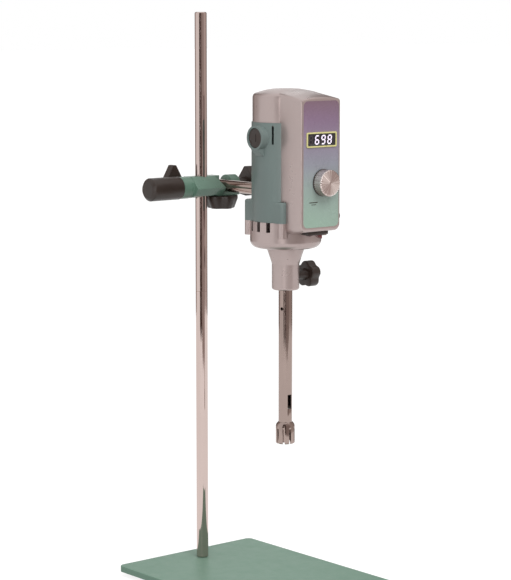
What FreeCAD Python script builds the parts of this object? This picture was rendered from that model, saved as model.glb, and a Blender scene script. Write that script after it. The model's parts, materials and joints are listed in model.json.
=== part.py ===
"""Laboratory high shear mixer on its stand: every piece at its real size, in millimetres.

The plate lies in X and Y with its centre at the origin, +Z is up and the feet stand on Z = 0.
The control panel looks along -Y. The column stands near the rear edge of the plate.
"""
import FreeCAD, Part
import math
import os
import re
import Sketcher

Vector = FreeCAD.Vector

# Driving sizes. Heights marked "over" or "under" are measured from the support rod's axis.
SIZES = {
    # base plate, feet and column
    "plate_width": 230.0,
    "plate_length": 330.0,
    "plate_thickness": 8.0,
    "plate_corner": 8.0,
    "plate_edge": 1.0,
    "foot_radius": 8.0,
    "foot_height": 6.0,
    "foot_inset": 24.0,
    "foot_recess_radius": 4.6,
    "foot_recess_depth": 3.0,
    "foot_screw_radius": 2.0,
    "foot_screw_head_radius": 3.8,
    "foot_screw_head_height": 2.2,
    "foot_screw_grip": 5.0,
    "column_radius": 8.0,
    "column_length": 740.0,
    "column_inset": 38.0,
    "column_dome": 2.2,
    "bolt_radius": 4.0,
    "bolt_reach": 20.0,
    "bolt_head_radius": 6.5,
    "bolt_head_height": 4.0,
    "bolt_key_radius": 3.0,
    "bolt_key_depth": 2.4,
    "bolt_tip_room": 3.0,
    "washer_radius": 8.5,
    "washer_thickness": 1.6,
    "counterbore_depth": 3.2,
    # support rod and where the mixer hangs
    "rod_height": 508.5,
    "rod_offset": 34.0,
    "rod_radius": 8.0,
    "rod_tail": 37.0,
    "rod_chamfer": 1.0,
    "tool_reach": 133.5,
    # clamp between column and rod
    "barrel_radius": 14.5,
    "barrel_length": 38.5,
    "block_left": 22.0,
    "block_height": 14.0,
    "block_base": 13.2,
    "block_back": 14.5,
    "nose_reach": 21.5,
    "nose_drop": 1.5,
    "nose_chamfer": 7.0,
    "nose_foot": 2.0,
    "back_chamfer": 5.0,
    "bridge_overlap": 6.0,
    "facet_top": 7.0,
    "facet_slant": 8.0,
    "jaw_gap": 0.3,
    "cheek_radius": 13.8,
    "cheek_thickness": 14.5,
    "bridge_half": 11.0,
    "handle_radius": 15.3,
    "handle_length": 51.5,
    "handle_chamfer": 4.0,
    "handle_screw_radius": 5.0,
    "handle_screw_grip": 36.0,
    "pad_radius": 4.4,
    "pad_thickness": 3.0,
    "star_radius": 23.3,
    "star_edge": 0.125,
    "star_notch": 0.3,
    "star_notch_place": 1.15,
    "star_thickness": 17.5,
    "star_taper": 0.76,
    "star_overlap": 3.0,
    "star_stem_radius": 8.0,
    "star_screw_radius": 3.0,
    "thread_end": 3.0,
    "lock_offset": 31.0,
    "lock_stem": 2.8,
    "lock_reach": 28.9,
    "lock_tip": 3.0,
    "lock_waist": 17.0,
    "lock_thickness": 11.0,
    "wing_hub_radius": 9.0,
    "wing_place": 19.0,
    "wing_reach": 23.5,
    "wing_screw_radius": 4.0,
    # green motor shell
    "shell_radius": 44.5,
    "shell_wall": 3.0,
    "shell_over": 91.0,
    "shell_under": 37.0,
    "flange_height": 27.4,
    "flange_edge": 3.0,
    "lug_x": 33.5,
    "lug_y": 33.0,
    "lug_radius": 6.3,
    "brush_over": 71.6,
    "brush_boss_radius": 15.6,
    "brush_boss_reach": 53.0,
    "web_half": 8.0,
    "web_drop": 1.6,
    "web_inset": 1.0,
    "brush_seat": 6.0,
    "groove_over": 75.5,
    "groove_height": 24.0,
    "groove_width": 3.0,
    "groove_angle": 27.0,
    "groove_depth": 3.5,
    "socket_radius": 14.0,
    "socket_reach": 52.0,
    "socket_depth": 13.5,
    "socket_wall": 1.5,
    "socket_neck_radius": 11.0,
    "set_screw_radius": 2.5,
    "set_screw_place": 48.0,
    "set_slot_width": 0.8,
    "set_slot_depth": 1.2,
    "wire_gap_width": 16.0,
    "wire_gap_height": 20.0,
    "wire_gap_top": 4.0,
    # silver cap with the control box
    "cap_radius": 43.2,
    "cap_over": 134.0,
    "cap_edge": 6.0,
    "cap_side": 127.0,
    "cap_slope_radius": 20.0,
    "cap_slope_over": 133.2,
    "cap_rim": 1.5,
    "box_half": 33.3,
    "box_front": 69.0,
    "box_under": 50.0,
    "box_under_front": 46.0,
    "box_under_rear": 53.5,
    "box_corner": 8.0,
    "box_wall": 2.6,
    "box_edge": 3.0,
    "box_side_front": 121.5,
    "box_side_rear": 128.4,
    "box_crown_front": 124.5,
    "box_crown_rear": 133.0,
    "box_rear": 24.0,
    "label_half": 30.0,
    "label_over": 120.0,
    "label_under": 41.0,
    "label_corner": 7.0,
    "label_depth": 0.8,
    # display, knob and switch
    "display_over": 70.8,
    "display_half": 25.4,
    "display_height": 19.4,
    "display_frame": 2.0,
    "display_proud": 1.4,
    "window_thickness": 1.6,
    "knob_over": 16.0,
    "dial_side": 3.0,
    "knob_radius": 17.0,
    "knob_length": 13.2,
    "knob_edge": 1.2,
    "skirt_radius": 17.4,
    "skirt_thickness": 1.6,
    "knob_web": 3.0,
    "pot_radius": 8.0,
    "pot_depth": 10.0,
    "pot_shaft_radius": 3.0,
    "pot_bush_radius": 3.6,
    "switch_length": 34.0,
    "switch_width": 14.0,
    "switch_height": 14.0,
    "switch_place": 57.0,
    "bezel_rim": 1.5,
    "bezel_thickness": 1.2,
    "rocker_length": 21.0,
    "rocker_width": 8.0,
    "rocker_end": 5.0,
    "rocker_middle": 1.8,
    "rocker_depth": 4.0,
    "rocker_angle": 12.0,
    "rocker_pin": 1.2,
    "pivot_over": 1.2,
    "can_fit": 0.25,
    "board_half": 25.0,
    "board_thickness": 1.6,
    "board_back": 9.0,
    "board_over": 112.0,
    "board_under": 22.0,
    "board_hole_gap": 5.2,
    "part_length": 26.0,
    "part_width": 14.0,
    "part_height": 24.0,
    "part_over": 34.0,
    "part_side": 22.0,
    "round_part_radius": 6.0,
    "round_part_length": 13.0,
    "round_part_over": 46.0,
    "round_part_side": 14.0,
    "chip_length": 10.0,
    "chip_width": 3.0,
    "chip_height": 15.0,
    "chip_side": 13.0,
    "chip_over": 22.0,
    "post_radius": 2.6,
    "post_inset": 5.0,
    "gland_radius": 8.0,
    "gland_length": 12.0,
    "gland_flange": 4.0,
    "gland_step": 0.6,
    "gland_taper": 2.4,
    "gland_bore": 3.5,
    "gland_thread": 6.0,
    "gland_under": 30.0,
    "gland_place": 50.0,
    # lower end cap, tool holder and its knob
    "body_radius": 46.4,
    "body_under": 72.3,
    "body_round": 10.0,
    "body_wall": 3.0,
    "vent_depth": 12.6,
    "vent_width": 6.0,
    "vent_angle": 20.0,
    "lug_under": 56.0,
    "long_screw_radius": 2.0,
    "long_screw_head": 3.6,
    "long_head_height": 2.4,
    "long_screw_end": 3.0,
    "cone_radius": 24.7,
    "holder_radius": 18.0,
    "holder_shoulder": 94.0,
    "holder_under": 128.0,
    "holder_edge": 2.5,
    "spigot_radius": 20.0,
    "spigot_height": 5.0,
    "seat_under": 82.0,
    "knob_under": 110.8,
    "small_star_radius": 17.5,
    "small_star_near": 33.0,
    "small_star_thickness": 14.0,
    "small_stem_radius": 6.0,
    # motor
    "shaft_radius": 4.0,
    "shaft_over": 92.0,
    "stator_over": 40.0,
    "stator_under": 8.0,
    "stator_bore": 21.0,
    "armature_radius": 20.4,
    "winding_reach": 8.0,
    "winding_inset": 8.0,
    "winding_gap": 3.0,
    "stator_flat": 5.0,
    "stator_flat_width": 40.0,
    "core_slot_width": 1.8,
    "core_slot_depth": 2.4,
    "commutator_radius": 12.0,
    "commutator_height": 18.0,
    "segment_gap": 0.6,
    "segment_depth": 1.5,
    "bearing_outer": 11.0,
    "bearing_height": 7.0,
    "bearing_seat_wall": 4.0,
    "bearing_floor": 3.0,
    "shield_step": 2.0,
    "shield_depth": 1.0,
    "upper_bearing_over": 83.0,
    "lower_bearing_under": 51.0,
    "carrier_thickness": 4.0,
    "carrier_collar": 3.0,
    "wire_hole_radius": 5.0,
    "wire_hole_place": 28.0,
    "fan_radius": 37.0,
    "fan_height": 9.0,
    "fan_hub": 9.0,
    "blade_inset": 14.0,
    "fan_disc": 1.6,
    "fan_under": 20.0,
    "blade_thickness": 1.6,
    "brush_half": 3.5,
    "holder_half": 5.0,
    "brush_length": 14.0,
    "spring_radius": 3.2,
    "spring_wire": 0.6,
    "brush_cap_radius": 12.9,
    "brush_cap_recess": 1.2,
    "cap_slot_depth": 1.5,
    "cap_slot_width": 2.0,
    "cap_slot_length": 14.0,
    "holder_gap": 2.0,
    "coupling_radius": 5.6,
    "coupling_top": 70.0,
    "coupling_end": 92.0,
    "coupling_grip": 5.0,
    "passage_gap": 1.4,
    "dog_width": 8.0,
    "dog_thickness": 3.0,
    "dog_height": 6.0,
    # dispersing tool
    "tube_radius": 9.0,
    "tube_wall": 1.5,
    "tube_end": 303.5,
    "tip_under": 332.5,
    "head_radius": 12.6,
    "head_bore": 10.2,
    "head_shoulder": 5.5,
    "head_wall": 2.0,
    "head_edge": 1.2,
    "bush_wall": 2.5,
    "spindle_clear": 4.0,
    "tooth_count": 9.0,
    "tooth_slot": 2.6,
    "tooth_height": 20.0,
    "window_top": 267.0,
    "window_height": 19.0,
    "window_width": 6.5,
    "vent_hole_under": 153.0,
    "vent_hole_radius": 2.2,
    "vent_hole_angle": 17.0,
    "spindle_radius": 3.0,
    "bush_height": 9.0,
    "neck_height": 8.0,
    "rotor_radius": 9.8,
    "rotor_height": 18.0,
    "rotor_slots": 4.0,
    "rotor_slot": 3.0,
    "rotor_over": 2.0,
    "rotor_wall": 2.5,
    "rotor_hub_wall": 1.5,
    "rotor_crown": 5.0,
    # clearances
    "slide_fit": 0.05,
    "turn_fit": 0.05,
    "loose_fit": 0.3,
    "seat_fit": 0.02,
}

# Places that follow from the sizes.
PLACES = {
    "plate_top": "foot_height + plate_thickness",
    "column_y": "plate_length / 2 - column_inset",
    "rod_z": "plate_top + rod_height",
    "tool_y": "column_y - tool_reach",
    "jaw_left": "rod_offset - rod_radius - jaw_gap",
    "jaw_right": "rod_offset + rod_radius + jaw_gap",
    "handle_start": "barrel_length + loose_fit",
    "pad_start": "column_radius + loose_fit",
    "socket_floor": "socket_reach - socket_depth",
    "knob_face": "box_front + skirt_thickness + loose_fit",
    "board_y": "box_front - board_back",
    "tube_bore": "tube_radius - tube_wall",
    "shell_bore": "shell_radius - shell_wall",
    "wing_start": "jaw_right + cheek_thickness + loose_fit",
    "bush_low": "tube_end - neck_height",
    "bush_high": "coupling_end + dog_height + bush_height + holder_gap",
    "bezel_near": "switch_place - switch_width / 2",
    "bezel_far": "switch_place + switch_width / 2",
    "pivot_under": "box_under + bezel_thickness - pivot_over",
    "bearing_low": "lower_bearing_under + bearing_height",
    "flange_over": "flange_height - shell_under",
}

doc = FreeCAD.newDocument("high_shear_mixer")
sheet = doc.addObject("Spreadsheet::Sheet", "dims")
for row, (word, number) in enumerate(SIZES.items(), 1):
    sheet.set("A%d" % row, str(number))
    sheet.setAlias("A%d" % row, word)
doc.recompute()

WORD = re.compile(r"[a-z][a-z_]*")
NODES = []


def spelled(text):
    """An expression with each place written out and each size pointing at its cell."""
    def cell(match):
        word = match.group()
        if word in PLACES:
            return "(" + spelled(PLACES[word]) + ")"
        return "dims." + word if word in SIZES else word
    return WORD.sub(cell, str(text))


def number(text):
    """What an expression comes to, read from the sheet."""
    def cell(match):
        word = match.group()
        if word in PLACES:
            return "(%r)" % number(PLACES[word])
        return "(%r)" % float(sheet.get(word)) if word in SIZES else word
    plain = WORD.sub(cell, str(text))
    return float(FreeCAD.Units.Quantity(plain.replace(" ", "")).Value)


def bind(thing, **sizes):
    """Tie properties of an object to the sheet."""
    for prop, text in sizes.items():
        thing.setExpression(prop, spelled(text))
    return thing


TURNS = {
    "Z": FreeCAD.Rotation(),
    "-Z": FreeCAD.Rotation(Vector(1, 0, 0), 180),
    "X": FreeCAD.Rotation(Vector(0, 1, 0), 90),
    "-X": FreeCAD.Rotation(Vector(0, 1, 0), -90),
    "Y": FreeCAD.Rotation(Vector(1, 0, 0), -90),
    "-Y": FreeCAD.Rotation(Vector(1, 0, 0), 90),
}


def place(thing, at, turn=None):
    """Put an object at a point given as three expressions, turned by a fixed rotation."""
    if turn is not None:
        thing.Placement = FreeCAD.Placement(Vector(), turn)
    for letter, text in zip("xyz", at):
        thing.setExpression("Placement.Base." + letter, spelled(text))
    return thing


def cylinder(radius, length, at=(0, 0, 0), axis="Z"):
    """A round bar that starts at a point and runs along an axis."""
    bar = doc.addObject("Part::Cylinder", "bar")
    bind(bar, Radius=radius, Height=length)
    return place(bar, at, TURNS[axis])


def cone(start, end, length, at=(0, 0, 0), axis="Z"):
    """A tapered round bar from one radius to another."""
    bar = doc.addObject("Part::Cone", "taper")
    bind(bar, Radius1=start, Radius2=end, Height=length)
    return place(bar, at, TURNS[axis])


def block(size, at, turn=None):
    """A box with its lowest corner at a point."""
    brick = doc.addObject("Part::Box", "brick")
    bind(brick, Length=size[0], Width=size[1], Height=size[2])
    return place(brick, at, turn)


def join(*pieces, refine=True):
    """One solid from several."""
    whole = doc.addObject("Part::MultiFuse", "joined")
    whole.Shapes = list(pieces)
    whole.Refine = refine
    return whole


def cut(piece, *tools):
    """A solid with others taken out of it."""
    left = doc.addObject("Part::Cut", "cut")
    left.Base = piece
    left.Tool = tools[0] if len(tools) == 1 else join(*tools, refine=False)
    return left


def common(piece, other):
    """Where two solids overlap."""
    both = doc.addObject("Part::Common", "common")
    both.Base, both.Tool = piece, other
    return both


def group(*pieces):
    """Separate solids kept as one node."""
    set_of = doc.addObject("Part::Compound", "set")
    set_of.Links = list(pieces)
    return set_of


def turned_copy(piece, angle, at=("0", "0", "0"), axis=(0, 0, 1)):
    """The same piece, turned about an axis through a point."""
    twin = doc.addObject("Part::Compound", "turned")
    twin.Links = [piece]
    turn = FreeCAD.Rotation(Vector(*axis), angle)
    centre = Vector(*[number(text) for text in at])
    twin.Placement = FreeCAD.Placement(centre - turn.multVec(centre), turn)
    return twin


def plane_of(body, role):
    return [f for f in body.Origin.OriginFeatures if f.Role == role][0]


def sketch_on(body, role, points, level="0"):
    """A closed outline of straight lines whose corners are tied to the sheet."""
    sketch = body.newObject("Sketcher::SketchObject", "outline")
    sketch.AttachmentSupport = [(plane_of(body, role), "")]
    sketch.MapMode = "FlatFace"
    sketch.setExpression("AttachmentOffset.Base.z", spelled(level))
    corners = [Vector(number(a), number(b), 0) for a, b in points]
    count = len(corners)
    for i in range(count):
        sketch.addGeometry(Part.LineSegment(corners[i], corners[(i + 1) % count]), False)
    for i in range(count):
        sketch.addConstraint(Sketcher.Constraint("Coincident", i, 2, (i + 1) % count, 1))
    for i, pair in enumerate(points):
        for kind, axis, here, text in (("DistanceX", -2, corners[i].x, pair[0]),
                                       ("DistanceY", -1, corners[i].y, pair[1])):
            if abs(here) < 1e-9:
                sketch.addConstraint(Sketcher.Constraint("PointOnObject", i, 1, axis))
                continue
            at = sketch.addConstraint(Sketcher.Constraint(kind, -1, 1, i, 1, here))
            sketch.setExpression("Constraints[%d]" % at, spelled(text))
    return sketch


def circle_on(body, role, radius, level="0", across="0"):
    """A circle on the body's plane, its centre on the sketch's first axis."""
    sketch = body.newObject("Sketcher::SketchObject", "circle")
    sketch.AttachmentSupport = [(plane_of(body, role), "")]
    sketch.MapMode = "FlatFace"
    sketch.setExpression("AttachmentOffset.Base.z", spelled(level))
    centre = Vector(number(across), 0, 0)
    sketch.addGeometry(Part.Circle(centre, Vector(0, 0, 1), number(radius)), False)
    at = sketch.addConstraint(Sketcher.Constraint("Radius", 0, number(radius)))
    sketch.setExpression("Constraints[%d]" % at, spelled(radius))
    sketch.addConstraint(Sketcher.Constraint("PointOnObject", 0, 3, -1))
    if centre.x:
        at = sketch.addConstraint(Sketcher.Constraint("DistanceX", -1, 1, 0, 3, centre.x))
        sketch.setExpression("Constraints[%d]" % at, spelled(across))
    else:
        sketch.addConstraint(Sketcher.Constraint("PointOnObject", 0, 3, -2))
    return sketch


def pad(body, sketch, length):
    feature = body.newObject("PartDesign::Pad", "pad")
    feature.Profile = sketch
    bind(feature, Length=length)
    body.Tip = feature
    return feature


def extruded(points, length, role="XY_Plane", level="0", at=(0, 0, 0), turn=None):
    """A body padded from an outline."""
    body = doc.addObject("PartDesign::Body", "prism")
    pad(body, sketch_on(body, role, points, level), length)
    return place(body, at, turn)


def turned(points, at=(0, 0, 0), turn=None):
    """A body spun about its own Z from an outline of radius and height."""
    body = doc.addObject("PartDesign::Body", "lathe")
    sketch = sketch_on(body, "XZ_Plane", points)
    feature = body.newObject("PartDesign::Revolution", "spin")
    feature.Profile = sketch
    feature.ReferenceAxis = (sketch, ["V_Axis"])
    feature.Angle = 360
    body.Tip = feature
    return place(body, at, turn)


def rounded(body, radius, wanted, kind="PartDesign::Fillet"):
    """Round or chamfer the edges of a body that a test picks."""
    doc.recompute()
    shape = body.Tip.Shape
    names = ["Edge%d" % (i + 1) for i, edge in enumerate(shape.Edges) if wanted(edge)]
    base = body.Tip
    feature = body.newObject(kind, "edges")
    feature.Base = (base, names)
    bind(feature, **({"Radius": radius} if kind.endswith("Fillet") else {"Size": radius}))
    body.Tip = feature
    return body


def ring_at(radius, height):
    """A test for the round edge of a lathe body at a radius and a height."""
    def test(edge):
        if not isinstance(edge.Curve, Part.Circle):
            return False
        same = abs(edge.Curve.Radius - number(radius)) < 1e-4
        return same and abs(edge.Curve.Center.z - number(height)) < 1e-4
    return test


def upright(edge):
    """A test for straight edges along Z."""
    ends = edge.Vertexes
    if len(ends) != 2 or not isinstance(edge.Curve, (Part.Line, Part.LineSegment)):
        return False
    step = ends[1].Point - ends[0].Point
    return abs(step.x) < 1e-6 and abs(step.y) < 1e-6


def long_edge(edge):
    """A test that leaves out the tiny edges a fillet can't take."""
    return edge.Length > 1


def rectangle(half_x, half_y):
    """Corners of a rectangle about the origin."""
    a, b = "(%s)" % half_x, "(%s)" % half_y
    return [("-" + a, "-" + b), (a, "-" + b), (a, b), ("-" + a, b)]


def hexagon(radius):
    """Corners of a hexagon, its flats 0.866 of the radius from the centre."""
    turns = [math.radians(60 * i) for i in range(6)]
    return [("%s * (%.6f)" % (radius, math.cos(a)), "%s * (%.6f)" % (radius, math.sin(a))) for a in turns]


def rounded_block(half_x, half_y, height, corner, at, top_edge=None):
    """A block about an upright axis with rounded corners and, where asked, a rounded top."""
    body = doc.addObject("PartDesign::Body", "block")
    pad(body, sketch_on(body, "XY_Plane", rectangle(half_x, half_y)), height)
    rounded(body, corner, upright)
    if top_edge:
        top = number(height)
        rounded(body, top_edge, lambda edge: all(abs(v.Z - top) < 1e-6 for v in edge.Vertexes))
    return place(body, at)


def star(radius, thickness, at, turn=None):
    """A five-lobed hand knob, its first lobe along its own Y."""
    body = doc.addObject("PartDesign::Body", "star")
    pad(body, circle_on(body, "XY_Plane", radius), thickness)
    rounded(body, radius + " * star_edge", lambda edge: isinstance(edge.Curve, Part.Circle))
    notch = circle_on(body, "XY_Plane", radius + " * star_notch", "0 - rod_chamfer", radius + " * star_notch_place")
    notch.AttachmentOffset = FreeCAD.Placement(Vector(0, 0, -1), FreeCAD.Rotation(Vector(0, 0, 1), 54))
    pocket = body.newObject("PartDesign::Pocket", "notch")
    pocket.Profile = notch
    pocket.Reversed = True
    bind(pocket, Length=thickness + " + 2 * rod_chamfer")
    body.Tip = pocket
    doc.recompute()
    pattern = body.newObject("PartDesign::PolarPattern", "notches")
    pattern.Originals = [pocket]
    pattern.Axis = (plane_of(body, "Z_Axis"), [""])
    pattern.Angle = 360
    pattern.Occurrences = 5
    body.Tip = pattern
    return place(body, at, turn)


def node(label, piece):
    """Name a finished sub-part."""
    piece.Label = label
    NODES.append(piece)
    return piece


def mixer(x, y, z):
    """A point given from the tool's axis and the rod's height."""
    return ("rod_offset + (%s)" % x, "tool_y + (%s)" % y, "rod_z + (%s)" % z)


def clamp(x, y, z):
    """A point given from where the column's axis meets the rod's height."""
    return (x, "column_y + (%s)" % y, "rod_z + (%s)" % z)


def four_feet(z):
    """The four points where a foot or its screw stands."""
    x, y = "(plate_width / 2 - foot_inset)", "(plate_length / 2 - foot_inset)"
    return [(sx + x, sy + y, z) for sx in ("", "-") for sy in ("", "-")]


def four_lugs(z):
    """The four corner lugs of the housing."""
    return [mixer(sx + "lug_x", sy + "lug_y", z) for sx in ("", "-") for sy in ("", "-")]


# Stand
def make_stand():
    plate = rounded_block("plate_width / 2", "plate_length / 2", "plate_thickness", "plate_corner",
                          ("0", "0", "foot_height"), "plate_edge")
    holes = [cylinder("foot_screw_radius + seat_fit", "foot_screw_grip", at) for at in four_feet("foot_height")]
    holes.append(cylinder("bolt_radius + loose_fit", "plate_thickness", ("0", "column_y", "foot_height")))
    holes.append(cylinder("washer_radius + loose_fit", "counterbore_depth", ("0", "column_y", "foot_height")))
    node("base_plate", cut(plate, *holes))
    feet, screws = [], []
    for at in four_feet("0"):
        foot = cone("foot_radius - 1", "foot_radius", "foot_height", at)
        recess = cylinder("foot_recess_radius", "foot_recess_depth", at)
        feet.append(cut(foot, recess, cylinder("foot_screw_radius + seat_fit", "foot_height", at)))
    for at in four_feet("foot_recess_depth"):
        head_at = at[:2] + ("foot_recess_depth - foot_screw_head_height",)
        head = cylinder("foot_screw_head_radius", "foot_screw_head_height", head_at)
        shank = cylinder("foot_screw_radius", "foot_height - foot_recess_depth + foot_screw_grip", at)
        screws.append(join(head, shank))
    node("rubber_feet", group(*feet))
    node("foot_screws", group(*screws))
    column = turned([("0", "0"), ("column_radius", "0"), ("column_radius", "column_length"), ("0", "column_length")],
                    ("0", "column_y", "plate_top"))
    rounded(column, "column_dome", ring_at("column_radius", "column_length"))
    tap = cylinder("bolt_radius + turn_fit", "bolt_reach + bolt_tip_room", ("0", "column_y", "plate_top"))
    node("column", cut(column, tap))
    under = "foot_height + counterbore_depth - washer_thickness"
    washer = cylinder("washer_radius", "washer_thickness", ("0", "column_y", under))
    hole = cylinder("bolt_radius + loose_fit", "washer_thickness", ("0", "column_y", under))
    node("column_washer", cut(washer, hole))
    head_z = under + " - bolt_head_height"
    head = cylinder("bolt_head_radius", "bolt_head_height", ("0", "column_y", head_z))
    shank = cylinder("bolt_radius", "plate_top + bolt_reach - (%s)" % under, ("0", "column_y", under))
    key = extruded(hexagon("bolt_key_radius"), "bolt_key_depth", at=("0", "column_y", head_z))
    node("column_bolt", cut(join(head, shank), key))


# Clamp
def make_clamp():
    nose = [("0 - nose_reach", "0 - nose_drop"), ("0 - nose_reach + nose_chamfer", "0 - block_base + nose_foot"),
            ("0 - facet_top", "0 - block_base"), ("block_back - back_chamfer", "0 - block_base"),
            ("block_back", "0 - back_chamfer"), ("block_back", "back_chamfer"),
            ("block_back - back_chamfer", "block_height"), ("0 - facet_top", "block_height")]
    body = extruded(nose, "block_left + jaw_left", "YZ_Plane", "0 - block_left", clamp("0", "0", "0"))
    barrel = cylinder("barrel_radius", "barrel_length", clamp("0 - barrel_length", "0", "0"), "X")
    bridge = block(("jaw_right - jaw_left + cheek_thickness + bridge_overlap", "2 * bridge_half",
                    "block_base - rod_radius"),
                   clamp("jaw_left - bridge_overlap", "0 - bridge_half", "0 - block_base"))
    cheek = cylinder("cheek_radius", "cheek_thickness", clamp("jaw_right", "0", "0"), "X")
    foot = block(("cheek_thickness", "4 * cheek_radius", "cheek_radius"),
                 clamp("jaw_right", "0 - 2 * cheek_radius", "0 - block_base - cheek_radius"))
    slant = extruded([("jaw_left", "0 - nose_drop"), ("jaw_left", "2 * block_height"),
                      ("jaw_left - 2 * facet_slant", "2 * block_height"), ("jaw_left - facet_slant", "block_height")],
                     "nose_reach - facet_top + loose_fit", "XZ_Plane", "facet_top - loose_fit",
                     clamp("0", "0", "0"))
    casting = cut(join(body, barrel, bridge, cheek), foot, slant)
    channel_floor = cylinder("rod_radius + jaw_gap", "4 * block_back",
                             clamp("rod_offset", "0 - 2 * block_back", "0"), "Y")
    channel_top = block(("2 * (rod_radius + jaw_gap)", "4 * block_back", "2 * block_height"),
                        clamp("jaw_left", "0 - 2 * block_back", "0"))
    channel = join(channel_floor, channel_top)
    bore = cylinder("column_radius + slide_fit", "4 * block_height", clamp("0", "0", "0 - 2 * block_height"))
    handle_hole = cylinder("handle_screw_radius + turn_fit", "barrel_length",
                           clamp("0 - barrel_length", "0", "0"), "X")
    lock_hole = cylinder("star_screw_radius + turn_fit", "barrel_radius", clamp("0 - lock_offset", "0", "0"), "Y")
    wing_hole = cylinder("wing_screw_radius + turn_fit", "2 * cheek_thickness",
                         clamp("jaw_right - jaw_gap", "0", "0"), "X")
    rest_hole = cylinder("star_screw_radius + turn_fit", "block_base", clamp("rod_offset", "0", "0 - block_base"))
    node("clamp_body", cut(casting, channel, bore, handle_hole, lock_hole, wing_hole, rest_hole))


def make_column_handle():
    start = "handle_start"
    at = clamp("0 - " + start, "0", "0")
    handle = turned([("0", "0"), ("handle_radius - rod_chamfer", "0"), ("handle_radius", "rod_chamfer"),
                     ("handle_radius", "handle_length - handle_chamfer"),
                     ("handle_radius - handle_chamfer", "handle_length"), ("0", "handle_length")],
                    at, TURNS["-X"])
    grip_hole = cylinder("handle_screw_radius + seat_fit", "handle_screw_grip", at, "-X")
    node("column_handle", cut(handle, grip_hole))
    near = "(pad_start + pad_thickness)"
    screw = cylinder("handle_screw_radius", "%s + handle_screw_grip - %s" % (start, near),
                     clamp("0 - " + near, "0", "0"), "-X")
    node("column_handle_screw", screw)
    pad_piece = cylinder("pad_radius", "pad_thickness", clamp("0 - pad_start", "0", "0"), "-X")
    node("column_pad", pad_piece)


def lobe_outline(count, reach, tip, waist):
    """Corners of a flat knob with square-ended lobes, the first lobe along the second axis."""
    corners = []
    for i in range(count):
        lobe = math.radians(90 + 360 * i / count)
        gap = lobe + math.pi / count
        for out, across, a in ((reach, "0 - " + tip, lobe), (reach, tip, lobe), (waist, "0", gap)):
            corners.append(("(%s) * (%.6f) + (%s) * (%.6f)" % (out, math.cos(a), across, -math.sin(a)),
                            "(%s) * (%.6f) + (%s) * (%.6f)" % (out, math.sin(a), across, math.cos(a))))
    return corners


def make_lock_knob():
    """The knob behind the barrel; its screw bears on the handle's screw."""
    face = clamp("0 - lock_offset", "barrel_radius + loose_fit", "0")
    knob = extruded(lobe_outline(3, "lock_reach", "lock_tip", "lock_waist"), "lock_thickness")
    rounded(knob, "lock_tip / 3", long_edge)
    place(knob, clamp("0 - lock_offset", "barrel_radius + lock_stem", "0"), LOBE_UP_BACK)
    stem = cone("star_stem_radius", "star_stem_radius + lock_stem", "lock_stem - loose_fit", face, "Y")
    grip = "(lock_stem + lock_thickness / 2)"
    grip_hole = cylinder("star_screw_radius + seat_fit", grip, face, "Y")
    node("lock_knob", cut(join(knob, stem), grip_hole))
    screw = cylinder("star_screw_radius", "barrel_radius + %s - handle_screw_radius - 2 * loose_fit" % grip,
                     clamp("0 - lock_offset", "handle_screw_radius + loose_fit", "0"), "Y")
    node("lock_screw", screw)


def make_wing_screw():
    """A lobed knob on the right; its screw presses the rod sideways."""
    face = clamp("wing_start", "0", "0")
    hub = cylinder("wing_hub_radius", "wing_place", face, "X")
    knob = extruded(lobe_outline(3, "wing_reach", "lock_tip", "lock_waist"), "lock_thickness")
    rounded(knob, "lock_tip / 3", long_edge)
    place(knob, clamp("wing_start + wing_place", "0", "0"), LOBE_UP_SIDE)
    grip = "(wing_place + lock_thickness / 2)"
    grip_hole = cylinder("wing_screw_radius + seat_fit", grip, face, "X")
    node("rod_wing_knob", cut(join(hub, knob), grip_hole))
    tip = "(jaw_right - jaw_gap + loose_fit)"
    screw = cylinder("wing_screw_radius", "wing_start + %s - %s" % (grip, tip), clamp(tip, "0", "0"), "X")
    node("rod_wing_screw", screw)


def make_rest_screw():
    """The star screw carries the rod from below."""
    face = clamp("rod_offset", "0", "0 - block_base - loose_fit")
    knob = star("star_radius", "star_thickness", face, TURNS["-Z"])
    taper = cone("star_radius + star_overlap", "star_radius * star_taper", "star_thickness", face, "-Z")
    grip_hole = cylinder("star_screw_radius + seat_fit", "star_thickness / 2", face, "-Z")
    node("rod_rest_knob", cut(common(knob, taper), grip_hole))
    screw = cylinder("star_screw_radius", "block_base + star_thickness / 2 - rod_radius",
                     clamp("rod_offset", "0", "0 - block_base - loose_fit - star_thickness / 2"))
    node("rod_rest_screw", screw)


# Rod and its socket screw
def make_rod():
    length = "rod_tail + tool_reach - socket_floor - loose_fit"
    rod = turned([("0", "0"), ("rod_radius", "0"), ("rod_radius", length), ("0", length)],
                 clamp("rod_offset", "rod_tail", "0"), TURNS["-Y"])
    rounded(rod, "rod_chamfer", lambda edge: isinstance(edge.Curve, Part.Circle), "PartDesign::Chamfer")
    node("support_rod", rod)
    screw = cylinder("set_screw_radius", "socket_radius - rod_radius - turn_fit",
                     mixer("0", "set_screw_place", "rod_radius + turn_fit"))
    slot = block(("2 * set_screw_radius", "set_slot_width", "set_slot_depth"),
                 mixer("0 - set_screw_radius", "set_screw_place - set_slot_width / 2",
                       "socket_radius - set_slot_depth"))
    node("rod_set_screw", cut(screw, slot))


# Motor shell
def corner_flange(height, low, gap="0", top_edge=None):
    """The square flange with its four rounded corners, from a height upwards."""
    return rounded_block("lug_x + lug_radius + " + gap, "lug_y + lug_radius + " + gap, height,
                         "lug_radius + " + gap, mixer("0", "0", low), top_edge)


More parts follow.
